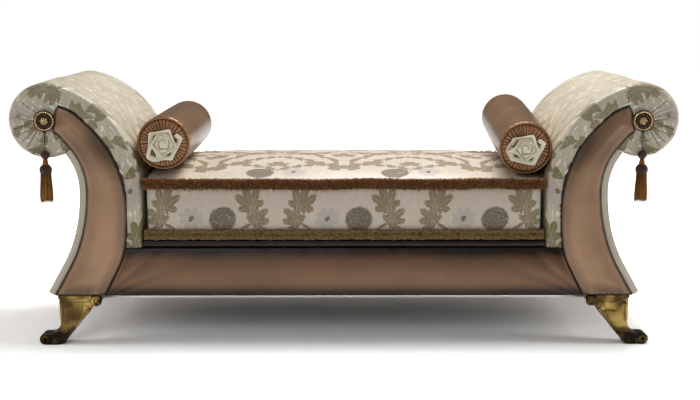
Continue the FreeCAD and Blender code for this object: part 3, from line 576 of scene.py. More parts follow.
def foliage(tree, folded):
    """Masks of all the leaves and of the light ribs in them."""
    leaves = None
    ribs = None
    for leaf in ACANTHUS:
        far, rib = acanthus(tree, folded, leaf)
        leaves = nearest(tree, leaves, far)
        ribs = nearest(tree, ribs, rib)
    for shape in STEMS:
        leaves = darned(tree, folded, shape, leaves)
    for shape in GARLANDS:
        leaves = nearest(tree, leaves, garland(tree, folded, shape))
    mask = inside(tree, leaves)
    rib_line = add(tree, "ShaderNodeMapRange", {"Value": ribs, "From Min": 0.06, "From Max": 0.03})
    return mask, times(tree, rib_line, mask)


def inside(tree, far, soft=0.07):
    """1 inside a shape, 0 outside it, from its unit distance."""
    return add(tree, "ShaderNodeMapRange", {"Value": far, "From Min": 1.0 + soft, "From Max": 1.0 - soft})


def fold_map(tree, start):
    """The cloth map, its edges frayed a little, folded into one mirrored repeat; also its unmirrored side."""
    flat = add(tree, "ShaderNodeUVMap", uv_map="cloth")
    placed = add(tree, "ShaderNodeMapping", {"Vector": flat, "Location": (*start, 0)})
    fray = add(tree, "ShaderNodeTexNoise", {"Vector": placed, "Scale": 130.0, "Detail": 1.5}).node
    centred = add(tree, "ShaderNodeVectorMath", {0: fray.outputs["Color"], 1: (0.5, 0.5, 0.5)},
                  operation="SUBTRACT")
    nudge = add(tree, "ShaderNodeVectorMath", {0: centred, 3: FRAY}, operation="SCALE")
    shifted = add(tree, "ShaderNodeVectorMath", {0: placed, 1: nudge}, operation="ADD")
    parts = add(tree, "ShaderNodeSeparateXYZ", {0: shifted}).node
    signed = maths(tree, "WRAP", parts.outputs[0], REPEAT_ACROSS / 2, -REPEAT_ACROSS / 2)
    mirrored = maths(tree, "ABSOLUTE", signed)
    up = maths(tree, "WRAP", parts.outputs[1], REPEAT_UP + REPEAT_FOOT, REPEAT_FOOT)
    folded = add(tree, "ShaderNodeCombineXYZ", {0: mirrored, 1: up})
    single = add(tree, "ShaderNodeCombineXYZ", {0: signed, 1: up})
    return folded, single, placed


# %% The flowers of the pattern
def daisies(tree, single):
    """Masks of the eight-lobed petals and of the hearts."""
    petals = None
    hearts = None
    for across, up in DAISIES:
        local = add(tree, "ShaderNodeMapping", {"Vector": single, "Location": (across, up, 0),
                                                "Scale": (0.037, 0.034, 1)}, vector_type="TEXTURE")
        far = add(tree, "ShaderNodeVectorMath", {0: local}, operation="LENGTH").node.outputs["Value"]
        sides = add(tree, "ShaderNodeSeparateXYZ", {0: local}).node.outputs
        turn = maths(tree, "ARCTAN2", sides[1], sides[0])
        lobes = maths(tree, "SINE", times(tree, turn, 4.0))
        round_lobes = maths(tree, "ABSOLUTE", lobes)
        edge = maths(tree, "MULTIPLY_ADD", round_lobes, -0.32, far)
        wide = maths(tree, "ADD", edge, 0.28)
        petals = nearest(tree, petals, wide)
        hearts = darned(tree, single, (across, up, 0.010, 0.0065, 60), hearts, pointed=False)
    return inside(tree, petals, 0.1), inside(tree, hearts)


def peonies(tree, single, placed):
    """Masks of the round blooms and of the pale lines between their petals."""
    bloom = None
    for shape in PEONIES:
        bloom = darned(tree, single, shape, bloom, pointed=False)
    cells = add(tree, "ShaderNodeTexVoronoi", {"Vector": placed, "Scale": 95.0}, feature="DISTANCE_TO_EDGE")
    line = add(tree, "ShaderNodeMapRange", {"Value": cells.node.outputs["Distance"], "From Min": 0.05,
                                            "From Max": 0.02})
    mask = inside(tree, bloom)
    return mask, times(tree, line, mask)


# %% Damask brocade
# Over the arm the pattern fades to this share, a painted glare; near the front and rear edge it's clear
FAINTEST = 0.16
CLEAR_FROM, CLEAR_TO = 0.270, 0.325


def brocade(name, start, ground, shade, leaf, flower, sheen_streak, faint_above):
    """The woven cloth, its pattern starting at a place of the cloth map and fading above a height, a painted
    glare.
    """
    material, tree = new_material(name)
    folded, single, placed = fold_map(tree, start)
    leaf_mask, rib_mask = foliage(tree, folded)
    petal_mask, heart_mask = daisies(tree, single)
    bloom_mask, petal_lines = peonies(tree, single, placed)
    place = add(tree, "ShaderNodeSeparateXYZ", {0: place_in(tree)}).node.outputs
    # Painted glare: the pattern fades high on the arm, where the light washes it out, but stays clear near the
    # front and rear edges.
    low = add(tree, "ShaderNodeMapRange", {"Value": place[2], "From Min": faint_above + 0.08,
                                           "From Max": faint_above, "To Min": FAINTEST})
    ends = add(tree, "ShaderNodeMapRange", {"Value": maths(tree, "ABSOLUTE", place[1]), "From Min": CLEAR_FROM,
                                            "From Max": CLEAR_TO, "To Max": 0.8})
    pattern_through_glare = maths(tree, "MAXIMUM", low, ends)
    leaf_mask = times(tree, leaf_mask, pattern_through_glare)
    bloom_mask = times(tree, bloom_mask, pattern_through_glare)
    petal_mask = times(tree, petal_mask, pattern_through_glare)
    drift = add(tree, "ShaderNodeTexNoise", {"Vector": placed, "Scale": 6.0, "Detail": 3.0})
    slubs = add(tree, "ShaderNodeMapping", {"Vector": placed, "Scale": (25.0, 260.0, 1.0)})
    slub = add(tree, "ShaderNodeTexNoise", {"Vector": slubs, "Scale": 1.0, "Detail": 2.0})
    # Painted sheen: silvery streaks across the threads, laid into the colour.
    shine_map = add(tree, "ShaderNodeMapping", {"Vector": placed, "Scale": (120.0, 30.0, 1.0)})
    shine_noise = add(tree, "ShaderNodeTexNoise", {"Vector": shine_map, "Scale": 1.0, "Detail": 3.0})
    shine = add(tree, "ShaderNodeMapRange", {"Value": shine_noise, "From Min": 0.55, "From Max": 0.68,
                                             "To Max": sheen_streak})
    cloth = tint(tree, drift, ground, shade)
    cloth = tint(tree, times(tree, slub, 0.35), cloth, shade)
    cloth = tint(tree, shine, cloth, "f4eedc")
    cloth = tint(tree, times(tree, petal_mask, 0.55), cloth, "a3989a")
    cloth = tint(tree, leaf_mask, cloth, leaf)
    cloth = tint(tree, times(tree, times(tree, rib_mask, pattern_through_glare), 0.3), cloth, ground)
    cloth = tint(tree, bloom_mask, cloth, flower)
    cloth = tint(tree, times(tree, times(tree, petal_lines, pattern_through_glare), 0.35), cloth, ground)
    cloth = tint(tree, times(tree, heart_mask, pattern_through_glare), cloth, "6a5a30")
    # Painted shade: the cloth darkens in the pleats and pulls that the mesh marks.
    crease_shade = attribute(tree, "crease_shade")
    painted_crease_shade = add(tree, "ShaderNodeMapRange", {"Value": crease_shade, "From Min": 0.25, "To Max": 0.8})
    cloth = tint(tree, painted_crease_shade, cloth, "33291a")
    raised = maths(tree, "MAXIMUM", leaf_mask, bloom_mask)
    weave = maths(tree, "MULTIPLY_ADD", slub, 0.4, raised)
    bump = add(tree, "ShaderNodeBump", {"Height": weave, "Strength": 0.25, "Distance": 0.0006})
    matte = add(tree, "ShaderNodeMapRange", {"Value": raised, "To Min": 0.42, "To Max": 0.62})
    shader = add(tree, "ShaderNodeBsdfPrincipled", {
        "Base Color": cloth, "Roughness": matte, "Normal": bump, "Specular IOR Level": 0.45,
        "Sheen Weight": 0.15, "Sheen Roughness": 0.35, "Sheen Tint": linear("e8e0cc")})
    close_material(tree, shader)
    return material


damask = brocade("arm_brocade", (-0.435, 0.05), "cdc4b1", "a29783", "716643", "5c5338", 0.85, 0.60)
seat_damask = brocade("seat_brocade", (REPEAT_ACROSS / 2, 0.0), "d2c6b7", "b9ac9b", "83745a", "645646", 0.18,
                      2.0)
print("brocades made:", len(damask.node_tree.nodes), "nodes each")

# %% [markdown]
# ## Arm pads
# The pad is one cloth over feathers and foam: up beside the cushion, out over the arm and round the roll.
# At both ends it turns over a soft edge, and on the roll it is gathered in pleats under the rosette.
# It could be lofted, but a grid laid along that path also gives each point its place on the flat cloth,
# and the woven pattern needs just that. Swelling, pulls and pleats are then pushed in, as an upholsterer would.

# %% The path of the pad
PAD_FOOT = 0.308
PAD_FACE = 0.610
PAD_UPRIGHT = 0.172
SWEEP_RADIUS = 0.330
SWEEP_TURN = math.radians(76.0)
ROLL_RADIUS = 0.111
ROLL_END = math.radians(322.0)
PAD_HALF_DEPTH = 0.334
EDGE_ROUND = 0.014
FOLD_IN = 0.093
SWEEP_CENTRE = (PAD_FACE + SWEEP_RADIUS, PAD_FOOT + PAD_UPRIGHT)
SWEEP_LENGTH = SWEEP_RADIUS * SWEEP_TURN
ROLL_START = PAD_UPRIGHT + SWEEP_LENGTH
PAD_LENGTH = ROLL_START + ROLL_RADIUS * (ROLL_END - SWEEP_TURN)


def pad_path(along):
    """The point of the pad's line this far from its foot, its outward way and its angle on the roll."""
    if along <= PAD_UPRIGHT:
        return (PAD_FACE, PAD_FOOT + along), (-1.0, 0.0), 0.0
    if along <= ROLL_START:
        turn = (along - PAD_UPRIGHT) / SWEEP_RADIUS
        centre, radius = SWEEP_CENTRE, SWEEP_RADIUS
    else:
        turn = SWEEP_TURN + (along - ROLL_START) / ROLL_RADIUS
        centre, radius = (ROLL_X, ROLL_Z), ROLL_RADIUS
    way = (-math.cos(turn), math.sin(turn))
    return (centre[0] + radius * way[0], centre[1] + radius * way[1]), way, turn


# Where the pleats lie round the roll, in degrees, how deep they are and how far out they reach
PLEATS = [(84, 0.3, 0.6), (101, 0.35, 0.7), (119, 0.5, 0.75), (137, 1.0, 1.0), (153, 0.5, 0.7),
          (165, 0.7, 0.95), (177, 0.8, 1.0), (187, 0.7, 0.8), (197, 1.0, 1.0), (208, 0.9, 0.9), (219, 1.0, 1.0),
          (231, 1.0, 1.0), (244, 0.8, 0.85), (257, 0.6, 0.8), (271, 0.7, 0.9), (286, 0.6, 0.8), (301, 0.7, 1.0),
          (314, 0.4, 0.8)]


def pleat_depth(turn, share):
    """How deep the gathers are at an angle and a share of the way out from the middle of the roll."""
    deep = 0.0
    for place, depth, reach in PLEATS:
        bend = math.radians(3.0) * math.sin(place + 4.0 * share)
        off = (turn - math.radians(place) - bend) * (0.25 + share) * ROLL_RADIUS
        width = 0.0022 + 0.0012 * share
        fade = 1.0 - smoothstep(reach - 0.25, reach + 0.08, share)
        deep = max(deep, depth * fade * math.exp(-(off / width) ** 2))
    return deep


print("pad path:", round(PAD_LENGTH, 3), "m")

# %% The cloth of one arm pad
ALONG = 300
SIDE_RINGS = 26
ROUND_RINGS = 6
TOP_RINGS = 84
NAILED_AT = 0.3222
CLOTH_THICKNESS = 0.005


def across_steps():
    """Distances on the cloth from its front hem over the pad to its rear hem, in metres."""
    arc = EDGE_ROUND * math.pi / 2
    top = 2 * (PAD_HALF_DEPTH - EDGE_ROUND)
    steps = [FOLD_IN * ring / SIDE_RINGS for ring in range(SIDE_RINGS)]
    steps += [FOLD_IN + arc * ring / ROUND_RINGS for ring in range(ROUND_RINGS)]
    steps += [FOLD_IN + arc + top * ring / TOP_RINGS for ring in range(TOP_RINGS)]
    half = list(reversed(steps[:SIDE_RINGS + ROUND_RINGS]))
    total = 2 * (FOLD_IN + arc) + top
    return steps + [total - arc - FOLD_IN] + [total - step for step in half]


def fold(across):
    """Depth in Y and how far in from the outside the cloth lies, this far from the front hem."""
    arc = EDGE_ROUND * math.pi / 2
    total = 2 * (FOLD_IN + arc + PAD_HALF_DEPTH - EDGE_ROUND)
    mirrored = across > total / 2
    near = total - across if mirrored else across
    if near < FOLD_IN:
        depth, inward, tilt = -PAD_HALF_DEPTH, EDGE_ROUND + FOLD_IN - near, 1.0
    elif near < FOLD_IN + arc:
        turn = (near - FOLD_IN) / EDGE_ROUND
        depth = -PAD_HALF_DEPTH + EDGE_ROUND * (1 - math.cos(turn))
        inward, tilt = EDGE_ROUND * (1 - math.sin(turn)), math.cos(turn)
    else:
        depth, inward, tilt = -PAD_HALF_DEPTH + EDGE_ROUND + near - FOLD_IN - arc, 0.0, 0.0
    return (-depth if mirrored else depth), inward, tilt, mirrored


def pad_point(along, across, seed):
    """One point of the dressed pad, and the depth of its pleat and pull, kept for painted shade."""
    (x, z), way, turn = pad_path(along)
    depth, inward, tilt, mirrored = fold(across)
    spot = Vector((along, across, seed))
    on_roll = smoothstep(ROLL_START - 0.03, ROLL_START + 0.05, along)
    free = smoothstep(0.40, 0.52, along)
    swell = free * 0.004 * noise.noise(spot * 4.5) + (0.15 + 0.85 * free) * 0.0012 * noise.noise(spot * 16.0)
    edge = abs(depth)
    pull_zone = smoothstep(0.235, 0.300, edge) * (1.0 - 0.6 * tilt) * smoothstep(0.03, 0.12, along)
    slant = along + 0.45 * (PAD_HALF_DEPTH - edge + inward)
    ridge = 1.0 - abs(noise.noise(Vector((slant * 62.0, edge * 9.0, seed + 3.0))))
    broken = smoothstep(0.0, 0.35, noise.noise(Vector((along * 13.0, edge * 6.0, seed + 9.0))) + 0.1)
    pull = max(ridge - 0.80, 0.0) / 0.20 * broken * pull_zone
    share = 1.0 - inward / ROLL_RADIUS
    pleat = on_roll * pleat_depth(turn, share) * smoothstep(0.0, 0.012, inward)
    out = swell * (1 - tilt) - 0.0016 * pull
    dome = on_roll * 0.003 * math.sin(math.pi * min(share, 1.0)) * tilt
    face_out = dome - 0.0032 * pleat - 0.0016 * pull * tilt + 0.0006 * noise.noise(spot * 30.0) * tilt
    px = x - inward * way[0] + out * way[0]
    pz = z - inward * way[1] + out * way[1]
    py = depth + (face_out if mirrored else -face_out)
    return Vector((px, py, pz)), max(pleat, 0.55 * pull)


def under_facing(point, facing_hit):
    """A point that the satin facing covers is nailed flat behind it."""
    reach = facing_hit(point.x, point.z)
    if reach:
        point.y = math.copysign(NAILED_AT, point.y)
    return point


def facing_test(node):
    """A test for whether a place in X and Z lies behind this facing."""
    tree = BVHTree.FromObject(node, bpy.context.evaluated_depsgraph_get())

    def covered(x, z):
        return tree.ray_cast(Vector((x, -1.0, z)), Vector((0, 1, 0)))[0] is not None
    return covered


def arm_cloth(name, seed):
    """The right arm's cloth as a grid, each point moved to its place, with a map of the flat cloth and a
    painted shade value for its pleats and pulls.
    """
    covered = facing_test(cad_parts["right_front_facing"])
    rows = across_steps()
    cloth = flat_grid(name, ALONG, len(rows) - 1)
    mesh = cloth.data
    flat = []
    crease_shade = mesh.attributes.new("crease_shade", "FLOAT", "POINT")
    for vertex in mesh.vertices:
        along = PAD_LENGTH * (vertex.co.x + 1) / 2
        across = rows[round((vertex.co.y + 1) / 2 * (len(rows) - 1))]
        flat.append((along, across))
        place, deep = pad_point(along, across, seed)
        # Painted shade: the brocade darkens with this value in the pleats and pulls.
        crease_shade.data[vertex.index].value = deep
        vertex.co = under_facing(place, covered)
    cloth_map = mesh.uv_layers.new(name="cloth")
    for loop in mesh.loops:
        along, across = flat[loop.vertex_index]
        cloth_map.data[loop.index].uv = (across, along)
    return cloth


# %% Dress both arms
arm_pads = {}
for side, seed in (("right", 2.0), ("left", 7.0)):
    cloth = arm_cloth(side + "_arm_damask", seed)
    weld(cloth, 0.00005)
    middle = max(cloth.data.polygons, key=lambda face: face.center.z)
    if middle.normal.z < 0:
        cloth.data.flip_normals()
    if side == "left":
        flip(cloth, 0)
    apply_modifier(cloth, "SOLIDIFY", thickness=CLOTH_THICKNESS, offset=-1.0, use_rim=True)
    bpy.ops.object.shade_smooth()
    dress(cloth, "bench", "damask_brocade", damask, side + "_arm_pad")
    arm_pads[side] = cloth
print("arm pads:", [len(cloth.data.polygons) for cloth in arm_pads.values()])

# %% [markdown]
# ## Satin facings
# A panel of board covered with thin wadding and satin closes each end of an arm.
# It is crowned from rim to rim, and a flanged cord of the same satin sits in the crease round it.
# The frame's solid gives the outline; remeshed, each point rises with its distance from the rim.

# %% Facings
FACING_FACE = -0.338
FACING_RISE = 0.0065
FACING_REACH = 0.055
FACING_WAVES = 0.0022


def bell(value, middle, width):
    """A smooth bump: 1 at its middle, fading on both sides."""
    return math.exp(-((value - middle) / width) ** 2)


def crown(mesh):
    """Swell the front of a flat pad away from its rim, and paint shade along the rim, at the neck and towards
    the foot, and highlights beside the rim and on the head.
    """
    def flattened(vertex):
        return Vector((vertex.co.x, FACING_FACE + 0.008, vertex.co.z))

    rim = KDTree(len(mesh.vertices))
    ways = [vertex.normal.copy() for vertex in mesh.vertices]
    for vertex, way in zip(mesh.vertices, ways):
        if abs(way.y) < 0.7:
            rim.insert(flattened(vertex), vertex.index)
    rim.balance()
    for vertex in mesh.vertices:
        if vertex.co.y < FACING_FACE + 0.004:
            share = smoothstep(0.0, FACING_REACH, rim.find(flattened(vertex))[2])
            vertex.co.y -= FACING_RISE * share + FACING_WAVES * noise.noise(vertex.co * 9.0) * share
    # Painted shade: darker along the rim, more on the inner side, in a band at the neck and towards the foot.
    # Painted highlights: a line beside the rim, the outer bulge and the head.
    dark = mesh.attributes.new("crease_shade", "FLOAT", "POINT")
    glow = mesh.attributes.new("glint", "FLOAT", "POINT")
    for vertex in mesh.vertices:
        near, _, far = rim.find(flattened(vertex))
        outer = 1.0 if near.x > vertex.co.x else 0.0
        up = vertex.co.z
        drift = 0.5 + 0.5 * noise.noise(vertex.co * 6.0)
        broad = (0.15 if outer else 0.5) * (1.0 - smoothstep(0.0, 0.045, far))
        seam = 0.8 * (1.0 - smoothstep(0.001, 0.007, far)) + broad
        neck = 0.45 * bell(up, 0.60, 0.07)
        foot = 0.45 * math.exp(-(up - 0.15) / 0.035)
        dark.data[vertex.index].value = min(seam + neck + foot, 0.92)
        line = bell(far, 0.010, 0.004) * (0.7 if outer else 0.25) * drift
        bulge = 0.5 * outer * bell(up, 0.50, 0.05) * math.exp(-far / 0.02)
        head = 0.6 * smoothstep(0.705, 0.745, up) + bulge
        glow.data[vertex.index].value = min(line + head * smoothstep(0.004, 0.010, far), 1.0)


right_front = merged_copy("right_front_facing", "right_front_satin")
remesh(right_front, 0.004, 3)
crown(right_front.data)
facings = {"right_front": right_front, "left_front": mirror_piece(right_front, "left_front_satin", 0),
           "right_rear": mirror_piece(right_front, "right_rear_satin", 1)}
facings["left_rear"] = mirror_piece(facings["right_rear"], "left_rear_satin", 0)
for place, panel in facings.items():
    dress(panel, "bench", "bronze_satin", bronze_satin, place + "_facing")
print("facings:", len(right_front.data.polygons), "faces each")

# %% [markdown]
# ## Rail covers, outer covers and deck
# The satin of the rail is stretched over a thin pad, so it pulls in fans from the corners where it is tacked.
# The waist of the arm wears plain cloth pulled smooth, and the deck under the cushion is satin too.

# %% Rail covers
RAIL_FACE = 0.334
RAIL_SWELL = 0.0145
RAIL_HALF_LENGTH = 0.69
RAIL_FOOT, RAIL_TOP = (corner.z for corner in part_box("front_rail_cover"))


def rail_pad(name):
    """The front rail's padded cover, with pulls towards both lower corners, and painted shade at its top, its
    bottom and in the pulls.
    """
    cover = merged_copy("front_rail_cover", name)
    remesh(cover, 0.0045, 3)
    mesh = cover.data
    dark = mesh.attributes.new("crease_shade", "FLOAT", "POINT")
    for vertex in mesh.vertices:
        x, y, z = vertex.co
        # Painted shade: darker at the top, under the cushion, and at the bottom, where the pad turns under;
        # below, the valleys of the pulls are darkened too.
        wander = 0.006 * noise.noise(Vector((x * 4.0, 2.0, 0.0)))
        shade = smoothstep(0.262, 0.300, z + wander) + 1.0 - smoothstep(0.162, 0.200, z + wander)
        if y < -0.333:
            share = min(max((z - RAIL_FOOT) / (RAIL_TOP - RAIL_FOOT), 0.0), 1.0)
            vertex.co.y = -RAIL_FACE - RAIL_SWELL * 4.0 * share * (1.0 - share)
            to_end = RAIL_HALF_LENGTH - abs(x)
            fan = math.atan2(z - 0.150, to_end + 0.04)
            near = math.exp(-max(to_end, 0.0) / 0.16)
            pulls = math.sin(fan * 20.0)
            slack = 0.0018 * noise.noise(Vector((x * 2.5, 0.0, z * 5.0)))
            vertex.co.y += 0.0012 * pulls * near + slack * smoothstep(0.160, 0.185, z)
            shade += 0.35 * max(pulls, 0.0) * near
        dark.data[vertex.index].value = min(max(shade, 0.0), 1.0) * 0.97
    return cover


front_rail_satin = rail_pad("front_rail_satin")
rear_rail_satin = mirror_piece(front_rail_satin, "rear_rail_satin", 1)
for cover, node_name in ((front_rail_satin, "front_rail_cover"), (rear_rail_satin, "rear_rail_cover")):
    dress(cover, "bench", "bronze_satin", rail_satin, node_name)

# %% Outer covers and deck
outer_cloth = merged_copy("right_outer_cover", "right_outer_cloth")
remesh(outer_cloth, 0.005, 3)
left_outer_cloth = mirror_piece(outer_cloth, "left_outer_cloth", 0)
dress(outer_cloth, "bench", "ivory_cloth", ivory_cloth, "right_outer_cover")
dress(left_outer_cloth, "bench", "ivory_cloth", ivory_cloth, "left_outer_cover")
deck = merged_copy("deck_pad", "deck_satin")
remesh(deck, 0.006, 2)
# Painted shade along the deck's front and rear edges, under the cushion.
shadow = deck.data.attributes.new("crease_shade", "FLOAT", "POINT")
shadow.data.foreach_set("value", [smoothstep(0.24, 0.31, abs(vertex.co.y)) for vertex in deck.data.vertices])
dress(deck, "bench", "bronze_satin", rail_satin, "deck_pad")
print("covers made")

# %% [markdown]
# ## Seat cushion
# A loose boxed cushion: top and bottom panels sewn to a border, with feathers round a foam core.
# Blown up a little by a cloth simulation it gets the tight, slightly uneven fullness of the real one,
# where noise alone would look like dough. The points are held close to the frame's solid, so it still fits.

# %% Seat cushion
CUSHION_LOW = 0.3313
CUSHION_EDGE = 0.5133
BORDER_START = 0.357
HALF_DEPTH = 0.33
END_START = 0.93
PUFF_FRAMES = 20


def inflate(obj, cap, voxel):
    """Blow a closed mesh up by a cloth simulation; cap gives each point the most it may move."""
    remesh(obj, voxel, 2)
    before = [vertex.co.copy() for vertex in obj.data.vertices]
    only(obj)
    cloth = obj.modifiers.new("cloth", "CLOTH")
    cloth.settings.use_pressure = True
    cloth.settings.uniform_pressure_force = 4.0
    cloth.settings.quality = 4
    cloth.settings.tension_stiffness = 30
    cloth.settings.compression_stiffness = 30
    cloth.settings.bending_stiffness = 3
    cloth.settings.effector_weights.gravity = 0
    cloth.point_cache.frame_start = 1
    cloth.point_cache.frame_end = PUFF_FRAMES
    for frame_number in range(1, PUFF_FRAMES + 1):
        bpy.context.scene.frame_set(frame_number)
    bpy.ops.object.modifier_apply(modifier=cloth.name)
    bpy.context.scene.frame_set(1)
    for vertex, old in zip(obj.data.vertices, before):
        step = vertex.co - old
        most = cap(old)
        if step.length > most:
            vertex.co = old + step * (most / step.length)


def cushion_cap(point):
    """The top may rise in the middle; under the bolsters, on the deck and at the ends it stays."""
    if point.z < CUSHION_LOW + 0.02:
        return 0.0
    if point.z > CUSHION_EDGE - 0.012:
        return 0.009 * (1.0 - smoothstep(0.36, 0.44, abs(point.x))) + 0.0003
    return 0.004 if abs(point.y) > 0.30 else 0.0008


def cushion_map(mesh):
    """The cloth map: up the border, then over the top; the ends carry on round the corner."""
    cloth_map = mesh.uv_layers.new(name="cloth")
    for face in mesh.polygons:
        way = face.normal
        for index in face.loop_indices:
            x, y, z = mesh.vertices[mesh.loops[index].vertex_index].co
            if abs(way.z) > 0.6:
                spot = (x, CUSHION_EDGE - BORDER_START + y + HALF_DEPTH)
            elif abs(way.y) > abs(way.x):
                spot = (x * (1 if way.y < 0 else -1), z - BORDER_START)
            else:
                spot = (y * (1 if way.x > 0 else -1) + END_START, z - BORDER_START)
            cloth_map.data[index].uv = spot


cushion = merged_copy("seat_cushion", "seat_cushion_damask")
inflate(cushion, cushion_cap, 0.010)
for vertex in cushion.data.vertices:
    x, y, z = vertex.co
    if z > CUSHION_EDGE - 0.01:
        hold = 1.0 - smoothstep(0.40, 0.47, abs(x))
        vertex.co.z += hold * (0.0022 * noise.noise(Vector((x * 5.0, y * 5.0, 1.0))) - 0.0005)
    elif z > CUSHION_LOW + 0.02 and abs(y) > 0.30:
        ripple = noise.noise(Vector((x * 7.0, z * 3.0, 4.0 + y)))
        vertex.co.y += math.copysign(0.0020 * ripple, y)
apply_modifier(cushion, "SUBSURF", levels=1, render_levels=1)
cushion_map(cushion.data)
dress(cushion, "seat_cushion", "damask_brocade", seat_damask, "seat_cushion")
print("cushion:", len(cushion.data.polygons), "faces")

# %% [markdown]
# ## Brush fringes
# Both seams of the cushion carry a thick cut fringe: thousands of short threads on a woven heading.
# Fur would be lost in the exported model, so the threads are real, each a thin three-sided spike.
# The heading is the frame's own ring; along it the threads are planted with a fixed random seed.

# %% Fringe threads
RING_X = 0.605
RING_Y = 0.337
RING_CORNER = 0.018


def ring_place(share):
    """A point on the cushion's rounded outline and its outward way, this share of the way round."""
    straight_x = 2 * (RING_X - RING_CORNER)
    straight_y = 2 * (RING_Y - RING_CORNER)
    quarter = RING_CORNER * math.pi / 2
    far = share * (2 * straight_x + 2 * straight_y + 4 * quarter)
    for length, corner, way in ((straight_x, (RING_X - RING_CORNER, -RING_Y + RING_CORNER), -90),
                                (straight_y, (RING_X - RING_CORNER, RING_Y - RING_CORNER), 0),
                                (straight_x, (-RING_X + RING_CORNER, RING_Y - RING_CORNER), 90),
                                (straight_y, (-RING_X + RING_CORNER, -RING_Y + RING_CORNER), 180)):
        out = Vector((math.cos(math.radians(way)), math.sin(math.radians(way))))
        run = Vector((-out.y, out.x))
        centre = Vector(corner)
        if far <= length:
            return centre - run * (length - far) + out * RING_CORNER, out
        far -= length
        if far <= quarter:
            turn = math.radians(way) + far / RING_CORNER
            out = Vector((math.cos(turn), math.sin(turn)))
            return centre + out * RING_CORNER, out
        far -= quarter
    return Vector((RING_X - RING_CORNER, -RING_Y)), Vector((0, -1))


def plant(name, threads):
    """One mesh of thin spikes; each thread is a list of points from root to tip and a thickness."""
    places, faces, tips = [], [], []
    for path, thick in threads:
        start = len(places)
        strand = (start * 0.0618) % 1.0
        along = (path[-1] - path[0]).normalized()
        side = along.orthogonal().normalized()
        other = along.cross(side)
        for step, spot in enumerate(path[:-1]):
            width = thick * (1.0 - 0.45 * step / len(path))
            for corner in range(3):
                turn = corner * 2 * math.pi / 3
                places.append(spot + side * (width * math.cos(turn)) + other * (width * math.sin(turn)))
                # The tip value rises from root to tip for painted shade in the depth and painted light at the
                # tips, plus a random tone for each thread.
                tips.append(0.7 * step / (len(path) - 1) + 0.4 * strand - 0.1)
        places.append(path[-1])
        tips.append(0.6 + 0.4 * strand)
        for step in range(len(path) - 2):
            low = start + step * 3
            for corner in range(3):
                after = (corner + 1) % 3
                faces.append((low + corner, low + after, low + 3 + after, low + 3 + corner))
        last = start + (len(path) - 2) * 3
        for corner in range(3):
            faces.append((last + corner, last + (corner + 1) % 3, len(places) - 1))
        faces.append((start + 2, start + 1, start))
    mesh = bpy.data.meshes.new(name)
    mesh.from_pydata([tuple(place) for place in places], [], faces)
    tip = mesh.attributes.new("tip", "FLOAT", "POINT")
    tip.data.foreach_set("value", tips)
    return new_object(name, mesh)


def seam_wave(spot):
    """How much the upper seam wanders up and down at a place."""
    return 0.0045 * noise.noise(Vector((spot.x * 6.0, spot.y * 6.0, 2.0)))


def reach_out(way, wanted):
    """Threads beside the arm pads lie flat; those in front and behind stand free."""
    return wanted * (0.12 + 0.88 * smoothstep(0.3, 0.9, abs(way.y)))


def ruff(name, middle, count):
    """The bushy upper fringe: threads fan out and up or down from the seam."""
    dice = random.Random(name)
    threads = []
    for index in range(count):
        spot, way = ring_place((index + dice.random()) / count)
        lift = dice.uniform(-1.0, 1.0)
        root = Vector((*(spot + way * 0.001), middle + seam_wave(spot) + lift * 0.013))
        out = reach_out(way, dice.uniform(0.005, 0.013) * (1.0 - 0.4 * abs(lift)))
        drift = Vector((-way.y, way.x)) * dice.uniform(-0.004, 0.004)
        rise = lift * dice.uniform(0.004, 0.0115)
        tip = root + Vector((*(way * out + drift), rise))
        bend = root.lerp(tip, 0.55) + Vector((*(way * out * 0.25), 0.0))
        threads.append(([root, bend, tip], dice.uniform(0.0009, 0.0015)))
    return plant(name, threads)


def brush(name, top, low, count):
    """The lower fringe: straight threads that hang from the seam down to the deck."""
    dice = random.Random(name)
    threads = []
    for index in range(count):
        spot, way = ring_place((index + dice.random()) / count)
        layer = dice.uniform(0.0, 1.0)
        root = Vector((*(spot - way * (0.006 - 0.003 * layer)), top - 0.012 * layer * dice.random()))
        drift = Vector((-way.y, way.x)) * dice.gauss(0.0, 0.0028)
        out = reach_out(way, 0.003 + 0.004 * layer)
        tip = Vector((*(spot + way * (out - 0.003) + drift), low + dice.uniform(0.0004, 0.006)))
        bend = root.lerp(tip, 0.5) + Vector((*(way * out * 0.5), 0.0))
        threads.append(([root, bend, tip], dice.uniform(0.0008, 0.0013)))
    return plant(name, threads)


def thread_material(name, root, body, tip_colour):
    """Cut viscose thread: painted shade in the depth, painted light towards the tips."""
    material, tree = new_material(name)
    mottle = add(tree, "ShaderNodeTexNoise", {"Vector": place_in(tree), "Scale": 160.0, "Detail": 2.0})
    tone = times(tree, maths(tree, "MULTIPLY_ADD", mottle, 0.55, attribute(tree, "tip")), 0.65)
    ramp = colour_ramp(tree, tone, (0.12, root), (0.5, body), (0.95, tip_colour))
    bump = add(tree, "ShaderNodeBump", {"Height": mottle, "Strength": 0.4, "Distance": 0.001})
    shader = add(tree, "ShaderNodeBsdfPrincipled", {
        "Base Color": ramp, "Roughness": 0.6, "Normal": bump, "Specular IOR Level": 0.25, "Sheen Weight": 0.15,
        "Sheen Roughness": 0.4, "Sheen Tint": linear(tip_colour)})
    close_material(tree, shader)
    return material


# %% Both fringes
RUFF_THREADS = 15000
BRUSH_THREADS = 8000

